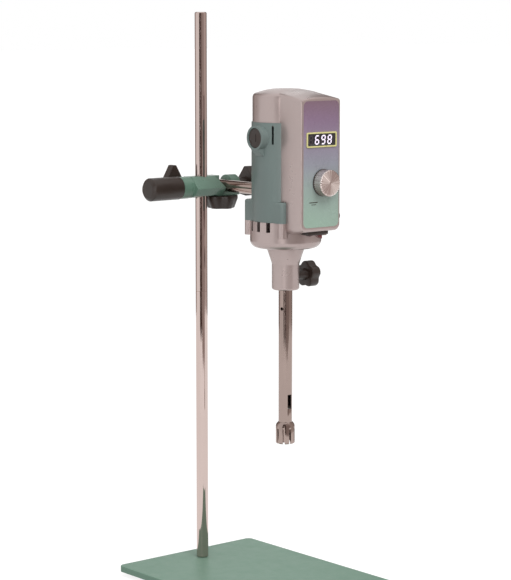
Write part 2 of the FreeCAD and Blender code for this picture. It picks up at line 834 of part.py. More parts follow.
def shell_outside():
    low = mixer("0", "0", "0 - shell_under")
    pieces = [cylinder("shell_radius", "shell_over + shell_under", low),
              corner_flange("flange_height", "0 - shell_under", top_edge="flange_edge"),
              cylinder("socket_radius", "socket_reach", mixer("0", "0", "0"), "Y")]
    low, far = "brush_over - web_drop * brush_boss_radius", "(brush_boss_reach - web_inset)"
    for sign, axis in ((1, "X"), (-1, "-X")):
        pieces.append(cylinder("brush_boss_radius", "brush_boss_reach", mixer("0", "0", "brush_over"), axis))
        web = [("%d * shell_bore" % sign, "brush_over"), ("%d * %s" % (sign, far), "brush_over"),
               ("%d * %s" % (sign, far), "brush_over - brush_boss_radius"),
               ("%d * (shell_radius - web_inset)" % sign, low), ("%d * shell_bore" % sign, low)]
        pieces.append(extruded(web, "2 * web_half", "XZ_Plane", "0 - web_half", mixer("0", "0", "0")))
    return join(*pieces)


def make_motor_shell():
    low = mixer("0", "0", "0 - shell_under")
    hollow = cylinder("shell_bore", "shell_over + shell_under", low)
    neck = cylinder("socket_neck_radius", "socket_reach - shell_bore + socket_depth / 3",
                    mixer("0", "socket_floor - socket_wall", "0"), "Y")
    casting = join(cut(shell_outside(), hollow), neck)
    rod_seat = cylinder("rod_radius + turn_fit", "socket_depth", mixer("0", "socket_floor", "0"), "Y")
    set_hole = cylinder("set_screw_radius + seat_fit", "socket_radius", mixer("0", "set_screw_place", "0"))
    far = "(brush_boss_reach - brush_seat)"
    seats = [cylinder("brush_cap_radius + seat_fit", "2 * brush_seat", mixer(side, "0", "brush_over"), axis)
             for side, axis in (("0 - " + far, "-X"), (far, "X"))]
    hole = "(holder_half + seat_fit)"
    seats.append(block(("4 * shell_radius", "2 * " + hole, "2 * " + hole),
                       mixer("0 - 2 * shell_radius", "0 - " + hole, "brush_over - " + hole)))
    screw_holes = [cylinder("long_screw_radius + seat_fit", "2 * flange_height", at)
                   for at in four_lugs("0 - shell_under")]
    head_holes = [cylinder("long_screw_head + loose_fit", "2 * long_head_height", at)
                  for at in four_lugs("flange_over - long_head_height - loose_fit")]
    groove = block(("2 * groove_depth", "groove_width", "groove_height"),
                   mixer("shell_radius - groove_depth", "0 - groove_width / 2", "groove_over - groove_height / 2"))
    grooves = [turned_copy(groove, angle, mixer("0", "0", "0"))
               for angle in (180 + number("groove_angle"), -number("groove_angle"))]
    wires = block(("wire_gap_width", "shell_radius", "wire_gap_height"),
                  mixer("0 - wire_gap_width / 2", "0 - shell_radius", "shell_over - wire_gap_height - wire_gap_top"))
    shell = cut(casting, rod_seat, set_hole, wires, *(screw_holes + head_holes + grooves + seats))
    node("motor_shell", shell)


# Silver cap and control box
def box_profile(half, under, side, crown, level):
    """Outline of the control box seen from the front, its top arched, as a sketch at a depth."""
    sketch = doc.addObject("Sketcher::SketchObject", "profile")
    sketch.Placement = FreeCAD.Placement(Vector(), TURNS["-Y"])
    for letter, text in zip("xyz", mixer("0", level, "0")):
        sketch.setExpression("Placement.Base." + letter, spelled(text))
    a, low, high, top = (number(text) for text in (half, under, side, crown))
    corners = [Vector(-a, high, 0), Vector(-a, -low, 0), Vector(a, -low, 0), Vector(a, high, 0)]
    for i in range(3):
        sketch.addGeometry(Part.LineSegment(corners[i], corners[i + 1]), False)
    sketch.addGeometry(Part.Arc(corners[3], Vector(0, top, 0), corners[0]), False)
    for i in range(2):
        sketch.addConstraint(Sketcher.Constraint("Coincident", i, 2, i + 1, 1))
    # The arch's first end lies at the right-hand corner and its last end at the left-hand one.
    sketch.addConstraint(Sketcher.Constraint("Coincident", 2, 2, 3, 1))
    sketch.addConstraint(Sketcher.Constraint("Coincident", 3, 2, 0, 1))
    for point, x, y in (((0, 1), "0 - (%s)" % half, side), ((0, 2), "0 - (%s)" % half, "0 - (%s)" % under),
                        ((1, 2), half, "0 - (%s)" % under), ((2, 2), half, side)):
        for kind, text in (("DistanceX", x), ("DistanceY", y)):
            at = sketch.addConstraint(Sketcher.Constraint(kind, -1, 1, point[0], point[1], number(text)))
            sketch.setExpression("Constraints[%d]" % at, spelled(text))
    rise = "(%s - (%s))" % (crown, side)
    bow = "((%s) * (%s) / (2 * %s) + %s / 2)" % (half, half, rise, rise)
    at = sketch.addConstraint(Sketcher.Constraint("Radius", 3, number(bow)))
    sketch.setExpression("Constraints[%d]" % at, spelled(bow))
    return sketch


def box_loft(inset):
    """The control box as a loft from its front to a depth, or its inside when inset by the wall."""
    front = box_profile("box_half - " + inset, "box_under_front - " + inset, "box_side_front - " + inset,
                        "box_crown_front - " + inset, "0 - box_front + " + inset)
    back = box_profile("box_half - " + inset, "box_under_rear - " + inset, "box_side_rear - " + inset,
                       "box_crown_rear - " + inset, "0 - box_rear")
    loft = doc.addObject("Part::Loft", "loft")
    loft.Sections = [front, back]
    loft.Solid = True
    loft.Ruled = True
    low = number("rod_z - box_under_front")
    return rounded_part(loft, "box_corner - " + inset,
                        lambda edge: edge.Length > 1 and edge.BoundBox.ZMax < low + number("box_wall") + 1
                        and edge.BoundBox.YLength > 1)


def rounded_part(piece, radius, wanted):
    """Fillet the edges of a part that a test picks."""
    doc.recompute()
    size = number(radius)
    picked = [(i + 1, size, size) for i, edge in enumerate(piece.Shape.Edges) if wanted(edge)]
    fillet = doc.addObject("Part::Fillet", "fillet")
    fillet.Base = piece
    fillet.Edges = picked
    return fillet


def box_shell():
    """The control box and the round cap as one hollow casting, seated on the motor shell."""
    front = number("tool_y - box_front")
    outside = rounded_part(box_loft("0"), "box_edge", lambda edge: all(abs(v.Y - front) < 1e-3 for v in edge.Vertexes))
    cap = turned([("0", "shell_over"), ("cap_radius", "shell_over"), ("cap_radius", "cap_side"),
                  ("cap_slope_radius", "cap_slope_over"), ("0", "cap_over")], mixer("0", "0", "0"))
    rounded(cap, "cap_edge", ring_at("cap_radius", "cap_side"))
    motor_room = cylinder("shell_radius", "shell_over + 2 * box_under", mixer("0", "0", "0 - 2 * box_under"))
    lower_room = cylinder("body_radius + seat_fit", "box_under", mixer("0", "0", "0 - shell_under - box_under"))
    skirt = cut(outside, motor_room, lower_room)
    cap_inside = turned([("0", "shell_over - rod_chamfer"), ("cap_radius - box_wall", "shell_over - rod_chamfer"),
                         ("cap_radius - box_wall", "cap_side - cap_edge"),
                         ("cap_slope_radius", "cap_slope_over - box_wall"), ("0", "cap_over - box_wall")],
                        mixer("0", "0", "0"))
    behind = block(("4 * box_half", "box_front", "shell_over + 2 * box_under + cap_rim"),
                   mixer("0 - 2 * box_half", "0 - lug_y - lug_radius - box_wall", "0 - 2 * box_under"))
    inside = join(cap_inside, cut(box_loft("box_wall"), behind))
    flange = corner_flange("2 * lug_under + flange_over", "0 - 2 * lug_under", "seat_fit")
    return cut(cut(join(cap, skirt), inside), flange)


def window_cut():
    """The opening that the display looks through."""
    return block(("2 * (display_half - display_frame)", "6 * box_wall", "display_height - 2 * display_frame"),
                 mixer("0 - display_half + display_frame", "0 - box_front - 3 * box_wall",
                       "display_over - display_height / 2 + display_frame"))


def dial_hole():
    """The hole for the dial's threaded neck."""
    return cylinder("pot_bush_radius + seat_fit", "6 * box_wall",
                    mixer("dial_side", "0 - box_front - 3 * box_wall", "knob_over"), "Y")


def make_control_box():
    hollow = cut(box_shell(), label_plate("label_depth", "0"))
    switch = block(("switch_length - 2 * bezel_rim", "switch_width - 2 * bezel_rim", "4 * box_wall"),
                   mixer("0 - switch_length / 2 + bezel_rim", "0 - bezel_far + bezel_rim", "0 - box_under - box_wall"))
    gland = cylinder("gland_thread + seat_fit", "3 * box_wall",
                     mixer("box_half - 2 * box_wall", "0 - gland_place", "0 - gland_under"), "X")
    node("control_housing", cut(hollow, window_cut(), dial_hole(), switch, gland))


def label_plate(thickness, lift):
    """The front label with rounded corners, its face flush with the box when lift is zero."""
    body = doc.addObject("PartDesign::Body", "label")
    outline = [("0 - label_half", "0 - label_under"), ("label_half", "0 - label_under"),
               ("label_half", "label_over"), ("0 - label_half", "label_over")]
    pad(body, sketch_on(body, "XZ_Plane", outline, "box_front - (%s) + (%s)" % (thickness, lift)), thickness)
    rounded(body, "label_corner", lambda edge: abs(abs(edge.Vertexes[0].Y - edge.Vertexes[-1].Y) - edge.Length) < 1e-6)
    return place(body, mixer("0", "0", "0"))


def along_y(edge):
    """A test for straight edges along Y."""
    return abs(abs(edge.Vertexes[0].Y - edge.Vertexes[-1].Y) - edge.Length) < 1e-6


def display_block(inset, depth, near):
    """A block behind the display's opening, smaller than it all round by an inset."""
    return block(("2 * (display_half - display_frame - %s)" % inset, depth,
                  "display_height - 2 * (display_frame + %s)" % inset),
                 mixer("0 - display_half + display_frame + " + inset, near,
                       "display_over - display_height / 2 + display_frame + " + inset))


def make_front_panel():
    node("front_label", cut(label_plate("label_depth", "0"), window_cut(), dial_hole()))
    body = doc.addObject("PartDesign::Body", "frame")
    pad(body, sketch_on(body, "XZ_Plane", rectangle("display_half", "display_height / 2"), "box_front"), "display_proud")
    rounded(body, "display_frame", along_y)
    place(body, mixer("0", "0", "display_over"))
    node("display_frame", cut(body, window_cut()))
    node("display_window", display_block("seat_fit", "window_thickness", "0 - box_front + label_depth - window_thickness"))
    node("display_module", display_block("rod_chamfer", "board_back - label_depth - board_thickness",
                                         "0 - box_front + label_depth"))


def make_board():
    y = "0 - board_y - board_thickness"
    board = block(("2 * board_half", "board_thickness", "board_over + board_under"),
                  mixer("0 - board_half", y, "0 - board_under"))
    hole = cylinder("pot_bush_radius + board_hole_gap", "2 * board_thickness", mixer("dial_side", y, "knob_over"), "Y")
    node("control_board", cut(board, hole))
    posts = []
    for side in ("0 - board_half + post_inset", "board_half - post_inset"):
        for level in ("0 - board_under + post_inset", "board_over - post_inset"):
            posts.append(cylinder("post_radius", "board_back - box_wall - board_thickness",
                                  mixer(side, "0 - box_front + box_wall", level), "Y"))
    node("board_posts", group(*posts))
    transformer = block(("part_length", "part_width", "part_height"), mixer("0 - part_side", "0 - board_y", "part_over"))
    capacitor = cylinder("round_part_radius", "round_part_length",
                         mixer("round_part_side", "0 - board_y", "round_part_over"), "Y")
    driver = block(("chip_length", "chip_width", "chip_height"), mixer("chip_side", "0 - board_y", "chip_over"))
    node("board_parts", group(transformer, capacitor, driver))


def make_speed_knob():
    front = mixer("dial_side", "0 - box_front", "knob_over")
    body = cylinder("pot_radius", "pot_depth", mixer("dial_side", "0 - box_front + box_wall", "knob_over"), "Y")
    bush = cylinder("pot_bush_radius", "box_wall", front, "Y")
    bore = cylinder("pot_shaft_radius + turn_fit", "box_wall + pot_depth - knob_web / 2", front, "Y")
    node("potentiometer", cut(join(body, bush), bore))
    reach = "(knob_length + skirt_thickness - knob_web)"
    shaft = cylinder("pot_shaft_radius", "box_wall + pot_depth - knob_web + " + reach,
                     mixer("dial_side", "0 - box_front - " + reach, "knob_over"), "Y")
    node("potentiometer_shaft", shaft)
    skirt = cylinder("skirt_radius", "skirt_thickness", mixer("dial_side", "0 - box_front - loose_fit", "knob_over"), "-Y")
    node("knob_skirt", cut(skirt, cylinder("pot_shaft_radius + seat_fit", "2 * skirt_thickness", front, "-Y")))
    face = mixer("dial_side", "0 - knob_face", "knob_over")
    knob = turned([("0", "0"), ("knob_radius", "0"), ("knob_radius", "knob_length"), ("0", "knob_length")],
                  face, TURNS["-Y"])
    rounded(knob, "knob_edge", ring_at("knob_radius", "knob_length"))
    node("speed_knob", cut(knob, cylinder("pot_shaft_radius + seat_fit", "knob_length - knob_web", face, "-Y")))


# Mains switch: a wedge under the sloping bottom of the box carries it level
def under_box(place_y):
    """How far the sloping bottom of the box lies below the rod's axis at a depth."""
    return ("(box_under_front + (box_front - %s) * (box_under_rear - box_under_front) / (box_front - box_rear))"
            % place_y)


def make_switch():
    wedge = [("0 - bezel_far", "0 - seat_fit - " + under_box("bezel_far")),
             ("0 - bezel_far", "0 - box_under - bezel_thickness"),
             ("0 - bezel_near", "0 - box_under - bezel_thickness"),
             ("0 - bezel_near", "0 - seat_fit - " + under_box("bezel_near"))]
    bezel = extruded(wedge, "switch_length", "YZ_Plane", "0 - switch_length / 2", mixer("0", "0", "0"))
    inset = "(bezel_rim + can_fit)"
    can = block(("switch_length - 2 * " + inset, "switch_width - 2 * " + inset, "switch_height + bezel_thickness"),
                mixer("0 - switch_length / 2 + " + inset, "0 - bezel_far + " + inset, "0 - box_under - bezel_thickness"))
    room = "(rocker_width / 2 + loose_fit)"
    well = block(("rocker_length + 2 * rocker_middle", "2 * " + room, "bezel_thickness + 2 * rocker_depth"),
                 mixer("0 - rocker_length / 2 - rocker_middle", "0 - switch_place - " + room,
                       "0 - box_under - bezel_thickness"))
    pin_hole = cylinder("rocker_pin + turn_fit", "rocker_width + 2 * bezel_rim",
                        mixer("0", "0 - switch_place - rocker_width / 2 - bezel_rim", "0 - pivot_under"), "Y")
    node("switch_body", cut(join(bezel, can), well, pin_hole))
    half = "rocker_length / 2"
    key = extruded([("0 - " + half, "0 - rocker_end"), ("0", "0 - rocker_middle"), (half, "0 - rocker_end"),
                    (half + " - rocker_middle", "rocker_depth"), ("0 - %s + rocker_middle" % half, "rocker_depth")],
                   "rocker_width", "XZ_Plane", "switch_place - rocker_width / 2", mixer("0", "0", "0 - pivot_under"))
    pin = cylinder("rocker_pin", "rocker_width + 2 * (bezel_rim - rocker_pin / 2)",
                   mixer("0", "0 - switch_place - rocker_width / 2 - bezel_rim + rocker_pin / 2", "0 - pivot_under"), "Y")
    tilt = turned_copy(join(key, pin), number("rocker_angle"), mixer("0", "0 - switch_place", "0 - pivot_under"), (0, 1, 0))
    node("switch_rocker", tilt)


# Cord inlet
def make_gland():
    def at(x):
        return mixer(x, "0 - gland_place", "0 - gland_under")

    flange = extruded(hexagon("gland_radius"), "gland_flange", at=at("box_half"), turn=TURNS["X"])
    nose = cone("gland_radius - gland_step", "gland_radius - gland_taper", "gland_length - gland_flange",
                at("box_half + gland_flange"), "X")
    thread = cylinder("gland_thread", "2 * box_wall + rod_chamfer", at("box_half - 2 * box_wall - rod_chamfer"), "X")
    bore = cylinder("gland_bore", "gland_length + 4 * box_wall", at("box_half - 3 * box_wall"), "X")
    node("cable_gland", cut(join(flange, nose, thread), bore))
    nut = extruded(hexagon("gland_radius"), "box_wall", at=at("box_half - 2 * box_wall"), turn=TURNS["X"])
    hole = cylinder("gland_thread + seat_fit", "3 * box_wall", at("box_half - 3 * box_wall"), "X")
    node("gland_nut", cut(nut, hole))


# Lower end cap and tool holder
def make_lower_cap():
    low = mixer("0", "0", "0 - bearing_low")
    body = turned([("0", "0 - body_under"), ("body_radius", "0 - body_under"),
                   ("body_radius", "0 - shell_under"), ("0", "0 - shell_under")], mixer("0", "0", "0"))
    rounded(body, "body_round", ring_at("body_radius", "0 - body_under"))
    lugs = [cylinder("lug_radius", "lug_under - shell_under", at) for at in four_lugs("0 - lug_under")]
    room = cylinder("body_radius - body_wall", "bearing_low - shell_under - bearing_floor",
                    mixer("0", "0", "bearing_floor - bearing_low"))
    hub = cylinder("bearing_outer + bearing_seat_wall", "bearing_height", low)
    seat = cylinder("bearing_outer + seat_fit", "2 * bearing_height", low)
    passage = cylinder("coupling_radius + passage_gap", "body_under", mixer("0", "0", "0 - body_under - passage_gap"))
    recess = cylinder("spigot_radius + seat_fit", "spigot_height", mixer("0", "0", "0 - body_under"))
    vent = block(("3 * body_wall", "vent_width", "vent_depth"),
                 mixer("body_radius - 2 * body_wall", "0 - vent_width / 2", "0 - shell_under - vent_depth"))
    vents = [turned_copy(vent, 90 * side + step * number("vent_angle"), mixer("0", "0", "0"))
             for side in range(4) for step in (-1, 0, 1)]
    holes = [cylinder("long_screw_radius + seat_fit", "lug_under - shell_under - long_screw_end", at)
             for at in four_lugs("long_screw_end - lug_under")]
    casting = join(cut(join(body, *lugs), room), hub)
    node("lower_end_cap", cut(casting, seat, passage, recess, *(vents + holes)))


def make_housing_screws():
    """Four long screws go down through the shell's corners into the lower end cap."""
    under_head = "flange_over - long_head_height - loose_fit"
    tip = "loose_fit + long_screw_end - lug_under"
    screws = []
    for low, head in zip(four_lugs(tip), four_lugs(under_head)):
        shank = cylinder("long_screw_radius", "%s - (%s)" % (under_head, tip), low)
        screws.append(join(shank, cylinder("long_screw_head", "long_head_height", head)))
    node("housing_screws", group(*screws))


def make_tool_holder():
    low = mixer("0", "0", "0 - holder_under")
    holder = turned([("0", "0 - holder_under"), ("holder_radius", "0 - holder_under"),
                     ("holder_radius", "0 - holder_shoulder"), ("cone_radius", "0 - body_under"),
                     ("spigot_radius", "0 - body_under"), ("spigot_radius", "spigot_height - body_under"),
                     ("0", "spigot_height - body_under")], mixer("0", "0", "0"))
    rounded(holder, "holder_edge", ring_at("holder_radius", "0 - holder_under"))
    seat = cylinder("tube_radius + slide_fit", "holder_under - seat_under", low)
    passage = cylinder("coupling_radius + passage_gap", "holder_under", low)
    knob_hole = cylinder("star_screw_radius + turn_fit", "2 * holder_radius", mixer("0", "0", "0 - knob_under"), "X")
    node("tool_holder", cut(holder, seat, passage, knob_hole))


def make_holder_knob():
    """The star screw that holds the tool in its holder."""
    knob = star("small_star_radius", "small_star_thickness",
                mixer("small_star_near", "0", "0 - knob_under"), LOBE_UP_SIDE)
    face = mixer("holder_radius + loose_fit", "0", "0 - knob_under")
    stem = cone("small_stem_radius", "small_stem_radius + lock_stem", "small_star_near - holder_radius - loose_fit",
                face, "X")
    grip_hole = cylinder("star_screw_radius + seat_fit", "small_star_near - holder_radius + small_star_thickness / 2",
                         face, "X")
    node("holder_knob", cut(join(knob, stem), grip_hole))
    screw = cylinder("star_screw_radius", "small_star_near + small_star_thickness / 2 - tube_radius - loose_fit",
                     mixer("tube_radius + loose_fit", "0", "0 - knob_under"), "X")
    node("holder_screw", screw)


# Motor
def tube_piece(outer, inner, height, at, axis="Z"):
    """A plain ring."""
    return cut(cylinder(outer, height, at, axis), cylinder(inner, height, at, axis))


def bearing(level):
    """A ball bearing as one solid, with the step between its rings and its shield."""
    ring = tube_piece("bearing_outer", "shaft_radius + seat_fit", "bearing_height", mixer("0", "0", level))
    step = tube_piece("bearing_outer - shield_step", "shaft_radius + shield_step", "shield_depth",
                      mixer("0", "0", level + " + bearing_height - shield_depth"))
    return cut(ring, step)


def make_bearings():
    node("motor_bearings", group(bearing("upper_bearing_over"), bearing("0 - bearing_low")))
    over = mixer("0", "0", "upper_bearing_over")
    carrier = cylinder("shell_bore - seat_fit", "carrier_thickness",
                       mixer("0", "0", "upper_bearing_over + bearing_height - carrier_thickness"))
    collar = cylinder("bearing_outer + carrier_collar", "bearing_height", over)
    seat = cylinder("bearing_outer + seat_fit", "bearing_height", over)
    wire_hole = cylinder("wire_hole_radius", "bearing_height", mixer("0", "0 - wire_hole_place", "upper_bearing_over"))
    node("bearing_carrier", cut(join(carrier, collar), seat, wire_hole))


def coil_ends(outer, inner):
    """The wound ends that stand out of a core, above and below it."""
    return [tube_piece(outer, inner, "winding_reach", mixer("0", "0", level))
            for level in ("stator_over", "0 - stator_under - winding_reach")]


def make_stator():
    height, low = "stator_over + stator_under", mixer("0", "0", "0 - stator_under")
    stator = tube_piece("shell_bore - seat_fit", "stator_bore", height, low)
    flat = block(("2 * stator_flat", "stator_flat_width", height),
                 mixer("shell_bore - stator_flat", "0 - stator_flat_width / 2", "0 - stator_under"))
    node("stator_core", cut(stator, *[turned_copy(flat, 90 * i, mixer("0", "0", "0")) for i in range(4)]))
    node("field_windings", group(*coil_ends("shell_bore - winding_inset", "stator_bore + winding_gap")))


def make_armature():
    height, low = "stator_over + stator_under", mixer("0", "0", "0 - stator_under")
    shaft_end = "(coupling_top + coupling_grip)"
    node("armature_shaft", cylinder("shaft_radius", "shaft_over + " + shaft_end, mixer("0", "0", "0 - " + shaft_end)))
    core = tube_piece("armature_radius", "shaft_radius + seat_fit", height, low)
    slot = block(("2 * core_slot_depth", "core_slot_width", height),
                 mixer("armature_radius - core_slot_depth", "0 - core_slot_width / 2", "0 - stator_under"))
    node("armature_core", cut(core, *[turned_copy(slot, 30 * i, mixer("0", "0", "0")) for i in range(12)]))
    node("armature_windings", group(*coil_ends("armature_radius - winding_gap", "shaft_radius + winding_gap")))
    low = "brush_over - commutator_height / 2"
    ring = tube_piece("commutator_radius", "shaft_radius + seat_fit", "commutator_height", mixer("0", "0", low))
    gap = block(("2 * segment_depth", "segment_gap", "commutator_height"),
                mixer("commutator_radius - segment_depth", "0 - segment_gap / 2", low))
    node("commutator", cut(ring, *[turned_copy(gap, 15 + 30 * i, mixer("0", "0", "0")) for i in range(12)]))


def make_fan():
    low = "0 - fan_under - fan_height"
    hub = tube_piece("fan_hub", "shaft_radius + seat_fit", "fan_height", mixer("0", "0", low))
    disc = tube_piece("fan_radius", "fan_hub - rod_chamfer", "fan_disc", mixer("0", "0", "0 - fan_under - fan_disc"))
    blade = block(("fan_radius - blade_inset", "blade_thickness", "fan_height"),
                  mixer("blade_inset - rod_chamfer", "0 - blade_thickness / 2", low))
    node("cooling_fan", join(hub, disc, *[turned_copy(blade, 36 * i, mixer("0", "0", "0")) for i in range(10)]))


def make_coupling():
    body = cylinder("coupling_radius", "coupling_end - coupling_top", mixer("0", "0", "0 - coupling_end"))
    bore = cylinder("shaft_radius + seat_fit", "coupling_grip", mixer("0", "0", "0 - coupling_top - coupling_grip"))
    slot = block(("4 * coupling_radius", "dog_thickness + 2 * loose_fit", "dog_height + rod_chamfer"),
                 mixer("0 - 2 * coupling_radius", "0 - dog_thickness / 2 - loose_fit", "0 - coupling_end"))
    node("drive_coupling", cut(body, bore, slot))


def make_brushes():
    holders, brushes, springs, caps = [], [], [], []
    near = "(commutator_radius + loose_fit)"
    far = "(brush_boss_reach - brush_seat)"
    start = "(commutator_radius + holder_gap)"
    room_half = "(brush_half + seat_fit)"
    for sign, axis in ((1, "X"), (-1, "-X")):
        low = start if sign > 0 else "0 - " + far
        size = "%s - %s" % (far, start)
        sleeve = block((size, "2 * holder_half", "2 * holder_half"), mixer(low, "0 - holder_half", "brush_over - holder_half"))
        room = block((size, "2 * " + room_half, "2 * " + room_half),
                     mixer(low, "0 - " + room_half, "brush_over - " + room_half))
        holders.append(cut(sleeve, room))
        x = near if sign > 0 else "0 - %s - brush_length" % near
        brushes.append(block(("brush_length", "2 * brush_half", "2 * brush_half"),
                             mixer(x, "0 - brush_half", "brush_over - brush_half")))
        springs.append(coil_spring(sign, near + " + brush_length", far))
        cap = cylinder("brush_cap_radius", "brush_seat - brush_cap_recess",
                       mixer("%d * %s" % (sign, far), "0", "brush_over"), axis)
        slot = block(("2 * cap_slot_depth", "cap_slot_width", "cap_slot_length"),
                     mixer("%d * (brush_boss_reach - brush_cap_recess) - cap_slot_depth" % sign,
                           "0 - cap_slot_width / 2", "brush_over - cap_slot_length / 2"))
        caps.append(cut(cap, slot))
    node("brush_holders", group(*holders))
    node("carbon_brushes", group(*brushes))
    node("brush_springs", group(*springs))
    node("brush_caps", group(*caps))


def coil_spring(sign, start, end):
    """A brush spring wound along X between the brush and its cap."""
    wire, radius = number("spring_wire"), number("spring_radius") - number("spring_wire")
    low, high = number(start) + wire, number(end) - wire
    turns = 5
    helix = Part.makeHelix((high - low) / turns, high - low, radius)
    section = Part.Wire([Part.Circle(Vector(radius, 0, 0), Vector(0, 1, 0), wire).toShape()])
    coil = Part.Wire(helix.Edges).makePipeShell([section], True, True)
    spring = doc.addObject("Part::Feature", "spring")
    spring.Shape = coil
    turn = TURNS["X"] if sign > 0 else TURNS["-X"]
    centre = Vector(*[number(text) for text in mixer("%d * %r" % (sign, low), "0", "brush_over")])
    spring.Placement = FreeCAD.Placement(centre, turn)
    return spring


# Dispersing tool
def make_tube():
    tube = tube_piece("tube_radius", "tube_bore", "tube_end - seat_under", mixer("0", "0", "0 - tube_end"))
    window = block(("window_width", "2 * tube_radius", "window_height"),
                   mixer("0 - window_width / 2", "0 - 2 * tube_radius", "0 - window_top - window_height"))
    vent = cylinder("vent_hole_radius", "2 * tube_radius", mixer("0", "0", "0 - vent_hole_under"), "-X")
    vent = turned_copy(vent, number("vent_hole_angle"), mixer("0", "0", "0"))
    node("tool_tube", cut(tube, window, vent))


def make_stator_head():
    """The slotted ring that the rotor works in, with the neck that holds it in the tube."""
    neck, bore = "tube_bore - seat_fit", "spindle_radius + bush_wall"
    shoulder, top = "0 - tube_end - head_shoulder", "neck_height - tube_end"
    head = turned([("head_bore", "0 - tip_under"), ("head_radius", "0 - tip_under"), ("head_radius", shoulder),
                   ("tube_radius", "0 - tube_end"), (neck, "0 - tube_end"), (neck, top), (bore, top),
                   (bore, shoulder), ("head_bore", shoulder + " - head_wall")], mixer("0", "0", "0"))
    rounded(head, "head_edge", ring_at("head_radius", "0 - tip_under"))
    slot = block(("2 * head_radius", "tooth_slot", "tooth_height"), mixer("0", "0 - tooth_slot / 2", "0 - tip_under"))
    count = int(number("tooth_count"))
    slots = [turned_copy(slot, 360 / count * (i + 0.5), mixer("0", "0", "0")) for i in range(count)]
    node("stator_head", cut(head, *slots))


def make_spindle():
    tip, top = "spindle_clear - tip_under", "dog_height - coupling_end"
    spindle = cylinder("spindle_radius", "0 - coupling_end - loose_fit - (%s)" % tip, mixer("0", "0", tip))
    dog = block(("dog_width", "dog_thickness", "dog_height + holder_gap"),
                mixer("0 - dog_width / 2", "0 - dog_thickness / 2", top + " - dog_height - holder_gap"))
    node("drive_spindle", join(spindle, dog))
    bushes = [tube_piece("tube_bore - seat_fit", "spindle_radius + turn_fit", "bush_height", mixer("0", "0", "0 - " + level))
              for level in ("bush_high", "bush_low")]
    node("spindle_bushes", group(*bushes))


def make_rotor():
    low = "rotor_over - tip_under"
    at = mixer("0", "0", low)
    rotor = tube_piece("rotor_radius", "spindle_radius + seat_fit", "rotor_height", at)
    hollow = cylinder("rotor_radius - rotor_wall", "rotor_height / 2", at)
    slot = block(("2 * rotor_radius", "rotor_slot", "rotor_height - rotor_crown"), mixer("0", "0 - rotor_slot / 2", low))
    count = int(number("rotor_slots"))
    slots = [turned_copy(slot, 360 / count * i, mixer("0", "0", "0")) for i in range(count)]
    hub = tube_piece("spindle_radius + rotor_hub_wall", "spindle_radius + seat_fit", "rotor_height", at)
    node("rotor_head", join(cut(rotor, hollow, *slots), hub))


# Star knobs keep one lobe pointing up when their screws lie level.
LOBE_UP_BACK = FreeCAD.Rotation(Vector(1, 0, 0), Vector(0, 0, 1), Vector(0, 1, 0), "ZYX")
LOBE_UP_SIDE = FreeCAD.Rotation(Vector(0, 1, 0), Vector(0, 0, 1), Vector(1, 0, 0), "ZYX")

make_stand()
make_clamp()
make_column_handle()
make_lock_knob()
make_wing_screw()
make_rest_screw()
make_rod()
make_motor_shell()
make_control_box()
make_front_panel()
make_board()
make_speed_knob()
make_switch()
make_gland()
make_lower_cap()
make_housing_screws()
make_tool_holder()
make_holder_knob()
make_bearings()
make_stator()
make_armature()
make_fan()
make_coupling()
make_brushes()
make_tube()
make_stator_head()
make_spindle()
make_rotor()

doc.recompute()
bad = [thing.Label for thing in doc.Objects if "Invalid" in thing.State or "Error" in thing.State]
for piece in NODES:
    if piece.Shape.isNull() or not piece.Shape.isValid() or not piece.Shape.Solids:
        bad.append(piece.Label)
if bad:
    raise SystemExit("not built: " + ", ".join(sorted(set(bad))))

os.makedirs("parts", exist_ok=True)
for piece in NODES:
    piece.Shape.exportStep("parts/%s.step" % piece.Label)
print(len(NODES), "nodes written")
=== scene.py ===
# %% [markdown]
# # A laboratory high shear mixer on its stand
# The imported model comes first. It fixes where every piece is and how it moves, so it is the frame that the looks are
# built round.
# %% Load the frame
import json
import math

import bpy
from mathutils import Matrix, Vector


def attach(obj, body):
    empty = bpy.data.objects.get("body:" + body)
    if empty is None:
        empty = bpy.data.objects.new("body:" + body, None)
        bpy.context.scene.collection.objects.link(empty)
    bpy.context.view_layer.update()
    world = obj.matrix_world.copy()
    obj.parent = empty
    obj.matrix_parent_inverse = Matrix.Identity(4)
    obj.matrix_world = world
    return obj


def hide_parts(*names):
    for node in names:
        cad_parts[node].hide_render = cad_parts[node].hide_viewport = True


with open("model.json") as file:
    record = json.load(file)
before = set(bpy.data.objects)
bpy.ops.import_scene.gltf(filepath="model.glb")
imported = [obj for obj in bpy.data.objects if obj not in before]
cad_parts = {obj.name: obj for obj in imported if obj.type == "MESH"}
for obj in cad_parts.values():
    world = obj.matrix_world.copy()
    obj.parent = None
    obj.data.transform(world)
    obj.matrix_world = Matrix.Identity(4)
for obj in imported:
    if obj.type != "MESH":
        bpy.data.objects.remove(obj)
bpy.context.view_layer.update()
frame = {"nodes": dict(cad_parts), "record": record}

print("frame loaded:", len(frame["nodes"]), "nodes")

# %% [markdown]
# Two places repeat all through the object. The clamp is measured from the pole's axis at the height of the
# support rod, and the mixer is measured from the axis of its tool at the same height. Working in
# millimetres from these two points keeps the numbers as they would be read off the real thing.
# %% Two measuring points
MM = 0.001
ROD_HEIGHT = 522.5
POLE = Vector((0, 127, ROD_HEIGHT))
TOOL = Vector((34, -6.5, ROD_HEIGHT))


def from_pole(x, y, z):
    return (POLE + Vector((x, y, z))) * MM


def from_tool(x, y, z):
    return (TOOL + Vector((x, y, z))) * MM


